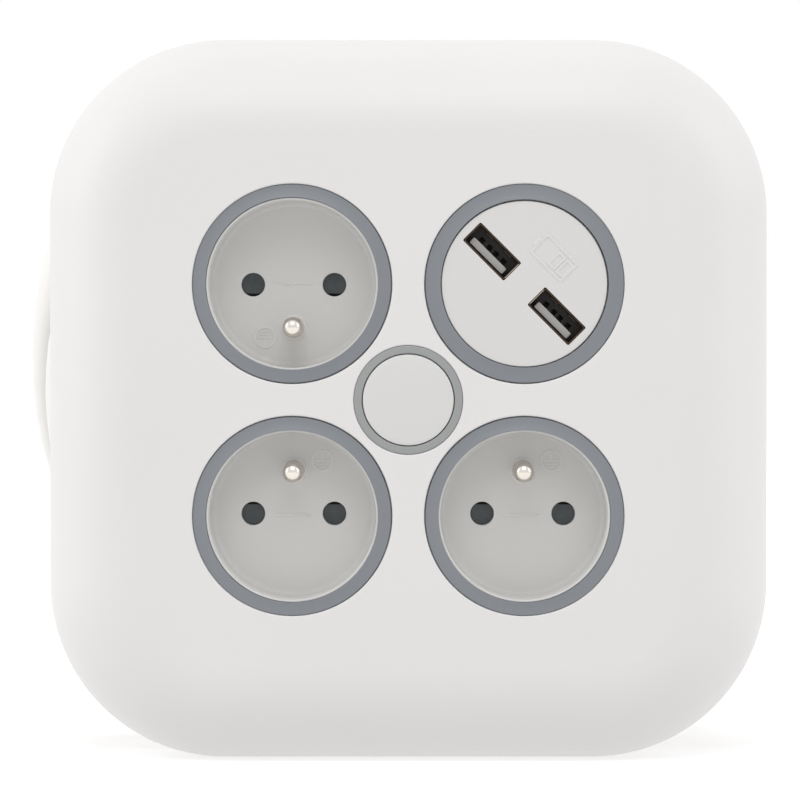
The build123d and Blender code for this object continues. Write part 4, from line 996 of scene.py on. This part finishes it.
@dataclass
class UsbModule:
    """The charger's face: a white disc with two slanted ports in a trim ring."""

    centre: Point2 = (SOCKET_OFFSET, SOCKET_OFFSET)
    disc_radius: float = 19.1
    drop: float = 0.1
    skin: float = 2.0
    wall: float = 2.5
    flange_radius: float = 24.2
    port_offset: float = 10.53
    tilt: float = 45.0
    shell: Point2 = (13.1, 5.6)
    sheet: float = 0.3
    shell_drop: float = 0.35
    shell_depth: float = 14.0
    gap: float = 0.12
    tongue: Point2 = (10.6, 1.75)
    tongue_shift: float = 1.3
    tongue_drop: float = 2.2
    body_depth: float = 7.5
    flange: float = 2.0
    disc_wall: float = 1.8
    edge_softness: float = 0.25
    slot_corner: float = 0.35
    shell_corners: Point2 = (0.55, 0.3)
    spring_size: Point2 = (2.2, 0.25)
    spring_depths: Point2 = (2.4, 6.8)
    spring_place: Point2 = (2.9, 0.32)
    spring_corner: float = 0.1
    contact_places: Sequence[float] = (-3.5, -1.0, 1.0, 3.5)
    contact_hole: float = 1.3
    contact_drop: float = -0.35
    contact_depth: float = 4.0
    edge_width: float = 0.16
    body_play: float = 0.1
    body_corner: float = 0.2
    edge_short: float = 0.5
    edge_depths: Point2 = (-0.04, 0.2)
    tongue_root: float = 0.5
    tongue_corner: float = 0.35
    tongue_tip: float = 0.2
    sign_line: float = 0.42
    sign_height: float = 0.16
    sign_root: float = 0.3
    sign_corners: Point2 = (0.2, 0.1)
    sign_across: float = -9.05
    sign_frames: Sequence[tuple[float, Point2]] = (
        (0.6, (10.0, 5.9)), (1.5, (2.2, 3.9)), (4.1, (2.2, 3.9)))
    sign_end: tuple[float, Point2] = (-4.9, (0.9, 2.4))

    def at(self, side: int, along: float, across: float) -> Point2:
        """Returns a place at a port.

        Args:
            side: -1 for the upper port and 1 for the lower one.
            along: Distance along the port's long side, down and to the right.
            across: Distance towards the lower left.

        Returns:
            The place across and up.
        """
        slant = math.radians(self.tilt)
        run = side * self.port_offset + along
        return (self.centre[0] + run * math.cos(slant) - across * math.sin(slant),
                self.centre[1] - run * math.sin(slant) - across * math.cos(slant))

    def box(self, side: int, size: Point2, depths: Point2, shift: Point2 = (0, 0),
            corner: float = 0.0) -> bmesh.types.BMesh:
        """Returns a block that lies along a port."""
        return slab(size[0], size[1], depths[0], depths[1], self.at(side, *shift), corner, -self.tilt, 4)

    def face(self) -> None:
        """Makes the disc with its two slots, and a raised battery sign."""
        inner, flange_back = self.disc_radius - self.disc_wall, self.wall + self.flange
        profile = [(0, self.drop), (self.disc_radius, self.drop), (self.disc_radius, self.wall),
                   (self.flange_radius, self.wall), (self.flange_radius, flange_back),
                   (inner, flange_back), (inner, self.drop + self.skin), (0, self.drop + self.skin)]
        form = spun(profile, self.centre, rounds=[((self.disc_radius, self.drop), self.edge_softness)])
        hole = (self.shell[0] + 2 * self.gap, self.shell[1] + 2 * self.gap)
        for side in (-1, 1):
            tool = self.box(side, hole, (-PAST, self.skin + PAST), corner=self.slot_corner)
            form = carved(form, tool, Carve.CUT)
        place(joined(self.battery_sign()), "battery_sign", SIGN_ON_DISC)
        place(form, "usb_face", DISC_WHITE, replaces=["usb_insert"], crease=CRISP_CREASE)

    def battery_sign(self) -> list[bmesh.types.BMesh]:
        """Makes a plain battery outline in thin raised lines, up and to the right of the ports.

        Returns:
            The raised lines.
        """
        depths = (self.drop - self.sign_height, self.drop + self.sign_root)
        through = (self.drop - PAST, self.drop + PAST)
        outer_corner, inner_corner = self.sign_corners
        along, size = self.sign_end
        made = [self.box(0, size, depths, (along, self.sign_across), inner_corner)]
        for along, size in self.sign_frames:
            spot = (along, self.sign_across)
            hollow = (size[0] - 2 * self.sign_line, size[1] - 2 * self.sign_line)
            outer = self.box(0, size, depths, spot, outer_corner)
            made.append(carved(outer, self.box(0, hollow, through, spot, inner_corner), Carve.CUT))
        return made

    def port(self, side: int, name: str) -> None:
        """Makes a port's folded shell, insulator, tongue and contacts.

        Args:
            side: -1 for the upper port and 1 for the lower one.
            name: The port's name.
        """
        front, back = self.shell_drop, self.shell_drop + self.shell_depth
        outer_corner, inner_corner = self.shell_corners
        can = self.box(side, self.shell, (front, back), corner=outer_corner)
        hollow = (self.shell[0] - 2 * self.sheet, self.shell[1] - 2 * self.sheet)
        can = carved(can, self.box(side, hollow, (front - PAST, back + PAST), corner=inner_corner), Carve.CUT)
        springs = [self.box(side, self.spring_size, self.spring_depths,
                            (end * self.spring_place[0], self.spring_place[1] - hollow[1] / 2),
                            self.spring_corner)
                   for end in (-1, 1)]
        # The shells' dark brown is painted shade.
        place(joined([can, *springs]), f"usb_can_{name}", SHADE_PAINTED_TIN, replaces=[f"usb_shell_{name}"],
              crease=SOFT_CREASE)
        # A thin pale strip at the shell's short front end: a painted highlight.
        bright = self.box(side, (self.edge_width, hollow[1] - self.edge_short),
                          (front + self.edge_depths[0], front + self.edge_depths[1]),
                          (-side * (self.shell[0] - self.sheet) / 2, 0))
        place(bright, f"usb_highlight_{name}", HIGHLIGHT_STEEL)
        body = (hollow[0] - self.body_play, hollow[1] - self.body_play)
        base = self.box(side, body, (self.body_depth, back), corner=self.body_corner)
        for along in self.contact_places:
            hole = self.box(side, (self.contact_hole, self.contact_hole),
                            (self.body_depth - PAST, self.body_depth + self.contact_depth),
                            (along, self.contact_drop))
            base = carved(base, hole, Carve.CUT)
        place(base, f"usb_insulator_{name}", PORT_NYLON)
        blade = self.box(side, self.tongue, (self.tongue_drop, self.body_depth + self.tongue_root),
                         (0, self.tongue_shift), self.tongue_corner)
        soften(blade, at_depth(self.tongue_drop), self.tongue_tip, 2)
        place(blade, f"usb_blade_{name}", TONGUE_GREY, replaces=[f"usb_tongue_{name}"])

    def build(self) -> None:
        """Makes the module's pieces."""
        TrimRing(self.centre, bore=19.35).build("trim_ring_usb", "usb_ring")
        self.face()
        self.port(-1, "upper")
        self.port(1, "lower")


@dataclass
class ResetButton:
    """The overload switch's cap and the grey ring that it moves in."""

    radius: float = 10.5
    proud: float = 0.6
    ring_bore: float = 10.7
    ring_radius: float = 12.55
    ring_depth: float = 5.0
    wall: float = 2.5
    stem: float = 3.0
    stem_end: float = 8.7
    softness: float = 0.3
    catch: Point2 = (0.8, 1.2)
    shoulder: Point2 = (0.8, 1.0)
    shoulder_gap: float = 0.1
    skin: float = 1.8
    crown_steps: int = 12

    def build(self) -> None:
        """Makes the ring and the domed cap."""
        catch_radius, catch_end = self.ring_radius + self.catch[0], self.wall + self.catch[1]
        profile = [(self.ring_bore, 0), (self.ring_radius, 0), (self.ring_radius, self.wall),
                   (catch_radius, self.wall), (catch_radius, catch_end), (self.ring_radius, catch_end),
                   (self.ring_radius, self.ring_depth), (self.ring_bore, self.ring_depth)]
        rounds = [((self.ring_bore, 0), self.softness), ((self.ring_radius, 0), self.softness)]
        place(spun(profile, rounds=rounds), "button_bezel", BUTTON_GREY, replaces=["button_ring"])
        shares = [index / self.crown_steps for index in range(self.crown_steps + 1)]
        crown = [(self.radius * share, -self.proud * (1 - share ** 2)) for share in shares]
        lip = self.ring_depth + self.shoulder_gap
        rim, end = self.radius + self.shoulder[0], lip + self.shoulder[1]
        inner = self.radius - self.skin
        sides = [(self.radius, lip), (rim, lip), (rim, end), (inner, end), (inner, self.skin),
                 (self.stem, self.skin), (self.stem, self.stem_end), (0, self.stem_end)]
        form = spun(crown + sides, rounds=[((self.radius, 0), self.softness)])
        # The cap takes the cups' colour, which holds painted shade.
        place(form, "button_cap", SHADED_CUP_WHITE, body="reset_button", replaces=["reset_button"])


@dataclass
class RearHousing:
    """The rear moulding: scooped at its left edge, with a dish for the grip and a bay for the plug."""

    side: float = 168.5
    corner: float = 41.0
    front: float = 78.0
    back: float = 94.0
    wall: float = 2.5
    rounding: float = 6.0
    scoop_length: float = 60.0
    scoop_depth: float = 7.0
    scoop_height: float = 2.0
    scoop_corner: float = 12.0
    recess_radius: float = 38.0
    recess_depth: float = 10.0
    boss_radius: float = 10.0
    boss_front: float = 66.0
    axle_radius: float = 6.0
    post_circle: float = 44.5
    well_radius: float = 3.8
    screw_hole: float = 1.65
    dish_softness: float = 0.8
    boss_drop: float = 1.0
    rounding_steps: int = 10
    finger_wall: float = 2.2
    finger_start: float = 11.0
    finger_width: float = 8.0
    finger_reach: float = 3.8
    finger_keep: Point2 = (20.0, 60.0)

    def outline(self, inset: float) -> list[Point2]:
        """Draws a rounded square with a scoop in its left side.

        Args:
            inset: How far the outline is drawn in.

        Returns:
            Its points, across and up.
        """
        reach = self.side / 2 - self.corner
        radius = self.corner - inset
        sweep = (self.scoop_length ** 2 / 4 + self.scoop_depth ** 2) / (2 * self.scoop_depth)
        scoop = (-self.side / 2 + self.scoop_depth - sweep, self.scoop_height)
        blend_x = -self.side / 2 + self.scoop_corner
        slant = math.acos((blend_x - scoop[0]) / (sweep + self.scoop_corner))
        rise = (sweep + self.scoop_corner) * math.sin(slant)
        tilt = math.degrees(slant)
        blend = self.scoop_corner - inset
        return (arc((reach, -reach), radius, -90, 0)
                + arc((reach, reach), radius, 0, 90)
                + arc((-reach, reach), radius, 90, 180)
                + arc((blend_x, scoop[1] + rise), blend, 180, 180 + tilt)
                + arc(scoop, sweep + inset, tilt, -tilt, 1.5)[1:-1]
                + arc((blend_x, scoop[1] - rise), blend, 180 - tilt, 180)
                + arc((-reach, -reach), radius, 180, 270))

    def shell(self) -> bmesh.types.BMesh:
        """Makes the housing's outer form with its rounded back edge.

        Returns:
            The form, solid.
        """
        sections = [(self.outline(0.0), self.front)]
        for index in range(self.rounding_steps + 1):
            turn = math.pi / 2 * index / self.rounding_steps
            inset = self.rounding * (1 - math.cos(turn))
            sections.append((self.outline(inset), self.back - self.rounding * (1 - math.sin(turn))))
        return lofted(sections)

    def plug_bay(self) -> bmesh.types.BMesh:
        """Makes the shape that the parked plug leaves in the housing.

        Returns:
            The shape to cut away.
        """
        gap = PLUG_PLAY
        plug = Plug()
        flare, drop = plug.head_curve[0]
        profile = [(plug.start - gap, 0), (plug.start - gap, plug.cable_radius + plug.cover + gap),
                   (plug.neck_start, plug.neck_radius + gap),
                   (plug.head_start + flare, plug.radius + drop + gap),
                   (plug.head_start - gap, plug.radius + gap),
                   (plug.face + gap, plug.radius + gap), (plug.face + gap, 0)]
        return lathed_x(profile, plug.depth, plug.height, ROUND_STEPS)

    def clip(self) -> bmesh.types.BMesh:
        """Makes the two springy fingers that hold the plug.

        Returns:
            The fingers.
        """
        plug = Plug()
        inner = plug.radius + PLUG_PLAY
        start = plug.face - self.finger_start
        end = start + self.finger_width
        fingers = pin_x(inner + self.finger_wall, start, end, plug.depth, plug.height)
        bore = pin_x(inner, start - PAST, end + PAST, plug.depth, plug.height)
        fingers = carved(fingers, bore, Carve.CUT)
        keep = slab(*self.finger_keep, self.back - self.wall, plug.depth + self.finger_reach,
                    ((start + end) / 2, plug.height))
        return carved(fingers, keep, Carve.KEEP)

    def build(self) -> None:
        """Makes the moulding with its dish, screw wells, plug bay and axle boss."""
        inside = self.outline(self.wall)
        hollow = lofted([(inside, self.front - PAST), (inside, self.front + self.wall)])
        form = carved(self.shell(), hollow, Carve.CUT)
        floor = self.back - self.recess_depth
        form = carved(form, drill(self.recess_radius, floor, self.back + PAST), Carve.CUT)
        form = carved(form, drill(self.recess_radius, self.front, floor - self.wall), Carve.CUT)
        for across, up in ((1, 0), (-1, 0), (0, 1), (0, -1)):
            centre = (across * self.post_circle, up * self.post_circle)
            well = drill(self.well_radius, self.front + 2 * self.wall, self.back + PAST, centre, WELL_STEPS)
            form = carved(form, well, Carve.CUT)
            hole = drill(self.screw_hole, self.front - PAST, self.back, centre, HOLE_STEPS)
            form = carved(form, hole, Carve.CUT)
        form = carved(form, self.plug_bay(), Carve.CUT)
        form = carved(form, drill(self.boss_radius, self.boss_front, floor - self.boss_drop), Carve.FUSE)
        bore = drill(self.axle_radius + AXLE_PLAY, self.boss_front + self.wall, self.back)
        form = carved(form, bore, Carve.CUT)
        soften(form, on_ring(self.recess_radius, self.back), self.dish_softness, 3)
        form = joined([form, self.clip()])
        place(form, "rear_moulding", HOUSING_WHITE, replaces=["rear_cover"], crease=CRISP_CREASE)


@dataclass
class HandGrip:
    """The dished grip that winds the cable: a ring with a bar across it and a capped hub."""

    radius: float = 36.5
    front: float = 84.6
    height: float = 20.0
    wall: float = 2.5
    floor: float = 3.0
    bar: float = 14.0
    hub_radius: float = 13.0
    hub_depth: float = 7.5
    cap_radius: float = 10.3
    cap_skirt: float = 9.8
    cap_play: float = 0.1
    cap_thickness: float = 2.0
    cap_edge: Point2 = (0.9, 0.15)
    cap_flat: float = 0.6
    axle_radius: float = 6.0
    lip_softness: float = 1.1
    floor_softness: float = 1.5
    bar_drop: float = 1.5
    bar_softness: float = 3.0
    hub_softness: float = 1.2
    sink: float = 0.1

    def build(self) -> None:
        """Makes the grip and its cap."""
        back = self.front + self.height
        inner = self.radius - self.wall
        floor = self.front + self.floor
        bowl = [(0, self.front), (self.radius, self.front), (self.radius, back), (inner, back),
                (inner, floor), (0, floor)]
        rounds = [((self.radius, back), self.lip_softness), ((inner, back), self.lip_softness),
                  ((inner, floor), self.floor_softness)]
        form = spun(bowl, rounds=rounds)
        root, bar_back = self.front + self.sink, back - self.bar_drop
        bar = slab(self.bar, 2 * (self.radius - self.wall / 2), root, bar_back)
        top = at_depth(bar_back)
        soften(bar, lambda edge: top(edge) and abs(edge.verts[0].co.x - edge.verts[1].co.x) < CLOSE,
               self.bar_softness, 6)
        form = carved(form, bar, Carve.FUSE)
        hub = [(0, root), (self.hub_radius, root), (self.hub_radius, back), (0, back)]
        hub_form = spun(hub, rounds=[((self.hub_radius, back), self.hub_softness)])
        form = carved(form, hub_form, Carve.FUSE)
        shoulder = self.front + self.hub_depth
        bore = self.axle_radius + AXLE_PLAY
        hole = [(0, self.front - PAST), (bore, self.front - PAST), (bore, shoulder),
                (self.cap_radius, shoulder), (self.cap_radius, back + PAST), (0, back + PAST)]
        form = carved(form, spun(hole), Carve.CUT)
        place(form, "grip_moulding", RING_GREY, body=GRIP, replaces=["hand_grip"])
        radius, under = self.cap_radius - self.cap_play, back - self.cap_thickness
        seat = shoulder + self.cap_play
        edge, crown = self.cap_edge
        cap = [(0, under), (self.cap_skirt, under), (self.cap_skirt, seat), (radius, seat),
               (radius, back - edge), (radius - edge, back - crown),
               (radius * self.cap_flat, back), (0, back)]
        place(spun(cap), "hub_cap", HOUSING_WHITE, body=GRIP, replaces=["grip_cap"])


# Nodes whose CAD shape is right, with the finish that each one takes
PLAIN_NODES: dict[str, Finish] = {
    "base_plate": HOUSING_WHITE, "drum_core": HOUSING_WHITE, "rear_plate": HOUSING_WHITE,
    "contact_carrier": INNER_DARK, "thermal_cutout": INNER_DARK, "usb_power_module": INNER_DARK,
    "usb_board": BOARD_GREEN, "live_busbar": BRASS, "neutral_busbar": BRASS, "earth_busbar": BRASS,
    "shutter_upper_left": SHUTTER_DARK, "shutter_lower_left": SHUTTER_DARK,
    "shutter_lower_right": SHUTTER_DARK, "shutter_spring_upper_left": SPRING,
    "shutter_spring_lower_left": SPRING, "shutter_spring_lower_right": SPRING,
    "axle": AXLE_STEEL, "axle_washer": AXLE_STEEL, "axle_screw": ZINC, "base_screws": ZINC,
    "carrier_screws": ZINC, "drum_screws": ZINC, "rear_screws": ZINC, "clamp_screws": ZINC,
    "cable_gland": RUBBER, "inner_lead": SHEATH, "cable_clamp": INNER_DARK,
    "live_wire": BROWN_CORE, "neutral_wire": BLUE_CORE, "earth_wire": EARTH_CORE,
    "plug_pins": NICKEL, "plug_earth_strap": NICKEL,
}


def dress_plain_nodes() -> None:
    """Gives each CAD node that is shown as it is the material of its finish."""
    for node, finish in PLAIN_NODES.items():
        shown = bpy.data.objects[node]
        for slot in shown.material_slots:
            slot.material = finish.material()
        if not shown.material_slots:
            shown.data.materials.append(finish.material())
        LOG.info("%s takes %s", node, finish.name)


@dataclass(frozen=True)
class Softbox:
    """A square lamp: where it stands, in metres, its side in metres and its power in watts."""

    name: str
    spot: Point3
    side: float
    power: float
    aim: Point3 = (0.0, 0.0, 0.08)

    def build(self) -> None:
        """Hangs the lamp, turned to the middle of the reel."""
        light = bpy.data.lights.new(self.name, "AREA")
        light.size = self.side
        light.energy = self.power
        holder = bpy.data.objects.new(self.name, light)
        holder.location = self.spot
        way = Vector(self.aim) - Vector(self.spot)
        holder.rotation_euler = way.to_track_quat("-Z", "Y").to_euler()
        bpy.context.scene.collection.objects.link(holder)


@dataclass
class Studio:
    """A white table top and soft light from all round, as for a catalogue picture.

    Sides is the surroundings' brightness at both sides, fore_and_aft how much dimmer they are in
    front and behind, and lean how they grow to the right, the back and the top. Table is the light
    that the table top's paper gives the reel, and glow what lifts the same paper to white in view.
    """

    floor_size: float = 6.0
    table: float = 0.84
    glow: float = 0.34
    paper_white: str = "#e8e8e8"
    sides: float = 1.27
    fore_and_aft: float = 0.80
    lean: Point3 = (-0.06, 0.0, -0.26)
    lamps: Sequence[Softbox] = (
        Softbox("softbox_left", (-1.4, -0.3, 0.6), 1.0, 4.0),
        Softbox("softbox_right", (1.4, -0.4, 0.7), 1.0, 2.6),
        Softbox("softbox_front", (0.0, -1.0, 1.1), 0.8, 3.4))

    def build(self) -> None:
        """Makes the floor, the surroundings and the lamps."""
        form = bmesh.new()
        bmesh.ops.create_grid(form, x_segments=1, y_segments=1, size=self.floor_size / 2)
        mesh = bpy.data.meshes.new("studio_floor")
        form.to_mesh(mesh)
        form.free()
        floor = bpy.data.objects.new("studio_floor", mesh)
        mesh.materials.append(self.paper())
        bpy.context.scene.collection.objects.link(floor)
        self.world()
        for lamp in self.lamps:
            lamp.build()
        bpy.context.scene.view_settings.view_transform = "Standard"

    def shown(self, tree: bpy.types.NodeTree, light: bpy.types.Node, view: bpy.types.Node, out: str) -> None:
        """Wires one shader for the light that falls on things, and one for the camera and reflections.

        Args:
            tree: The floor's or the surroundings' node tree.
            light: What lights the reel.
            view: What the camera, glossy and clear surfaces see.
            out: The output node.
        """
        ray = add_node(tree, "ShaderNodeLightPath")
        mirrored = add_node(tree, "ShaderNodeMath", {"operation": "MAXIMUM"},
                            {0: ray.outputs["Is Camera Ray"], 1: ray.outputs["Is Glossy Ray"]})
        seen = add_node(tree, "ShaderNodeMath", {"operation": "MAXIMUM"},
                        {0: mirrored.outputs["Value"], 1: ray.outputs["Is Transmission Ray"]})
        blend = add_node(tree, "ShaderNodeMixShader", inputs={
            0: seen.outputs["Value"], 1: light.outputs[0], 2: view.outputs[0]})
        add_node(tree, out, inputs={"Surface": blend.outputs["Shader"]})

    def paper(self) -> bpy.types.Material:
        """Makes the table top's white paper, which keeps the reel's soft shadow.

        Returns:
            The paper's material.
        """
        made = bpy.data.materials.new("lit_white_paper")
        made.use_nodes = True
        tree = made.node_tree
        tree.nodes.clear()
        white = linear("#ffffff")
        light = add_node(tree, "ShaderNodeEmission", inputs={"Color": white, "Strength": self.table})
        sheet = add_node(tree, "ShaderNodeBsdfDiffuse", inputs={"Color": linear(self.paper_white)})
        glow = add_node(tree, "ShaderNodeEmission", inputs={"Color": white, "Strength": self.glow})
        view = add_node(tree, "ShaderNodeAddShader", inputs={0: sheet.outputs[0], 1: glow.outputs[0]})
        self.shown(tree, light, view, "ShaderNodeOutputMaterial")
        return made

    def world(self) -> None:
        """Makes the surroundings: brighter at the sides than in front and behind."""
        world = bpy.data.worlds.new("studio")
        world.use_nodes = True
        bpy.context.scene.world = world
        tree = world.node_tree
        tree.nodes.clear()
        way = add_node(tree, "ShaderNodeTexCoord")
        split = add_node(tree, "ShaderNodeSeparateXYZ", inputs={"Vector": way.outputs["Generated"]})
        squared = add_node(tree, "ShaderNodeMath", {"operation": "MULTIPLY"},
                           {0: split.outputs["Y"], 1: split.outputs["Y"]})
        dimmed = add_node(tree, "ShaderNodeMath", {"operation": "MULTIPLY_ADD"},
                          {0: squared.outputs["Value"], 1: -self.fore_and_aft, 2: self.sides})
        leaning = add_node(tree, "ShaderNodeVectorMath", {"operation": "DOT_PRODUCT"},
                           {0: way.outputs["Generated"], 1: self.lean})
        level = add_node(tree, "ShaderNodeMath", {"operation": "ADD"},
                         {0: dimmed.outputs["Value"], 1: leaning.outputs["Value"]})
        white = linear("#ffffff")
        light = add_node(tree, "ShaderNodeBackground", inputs={
            "Color": white, "Strength": level.outputs["Value"]})
        view = add_node(tree, "ShaderNodeBackground", inputs={"Color": white, "Strength": 1.0})
        self.shown(tree, light, view, "ShaderNodeOutputWorld")


def main() -> None:
    """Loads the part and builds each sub-assembly in order."""
    logging.basicConfig(level=logging.INFO, format="%(name)s: %(message)s")
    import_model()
    Camera().build()
    Plug().build()
    Cable().build()
    dress_plain_nodes()
    FrontHousing().build()
    for name, across, up, upright in (("upper_left", -1, 1, Upright.EARTH_BELOW),
                                      ("lower_left", -1, -1, Upright.EARTH_ABOVE),
                                      ("lower_right", 1, -1, Upright.EARTH_ABOVE)):
        Socket(name, (across * SOCKET_OFFSET, up * SOCKET_OFFSET), upright).build()
    UsbModule().build()
    ResetButton().build()
    RearHousing().build()
    HandGrip().build()
    Studio().build()


if __name__ == "__main__":
    main()
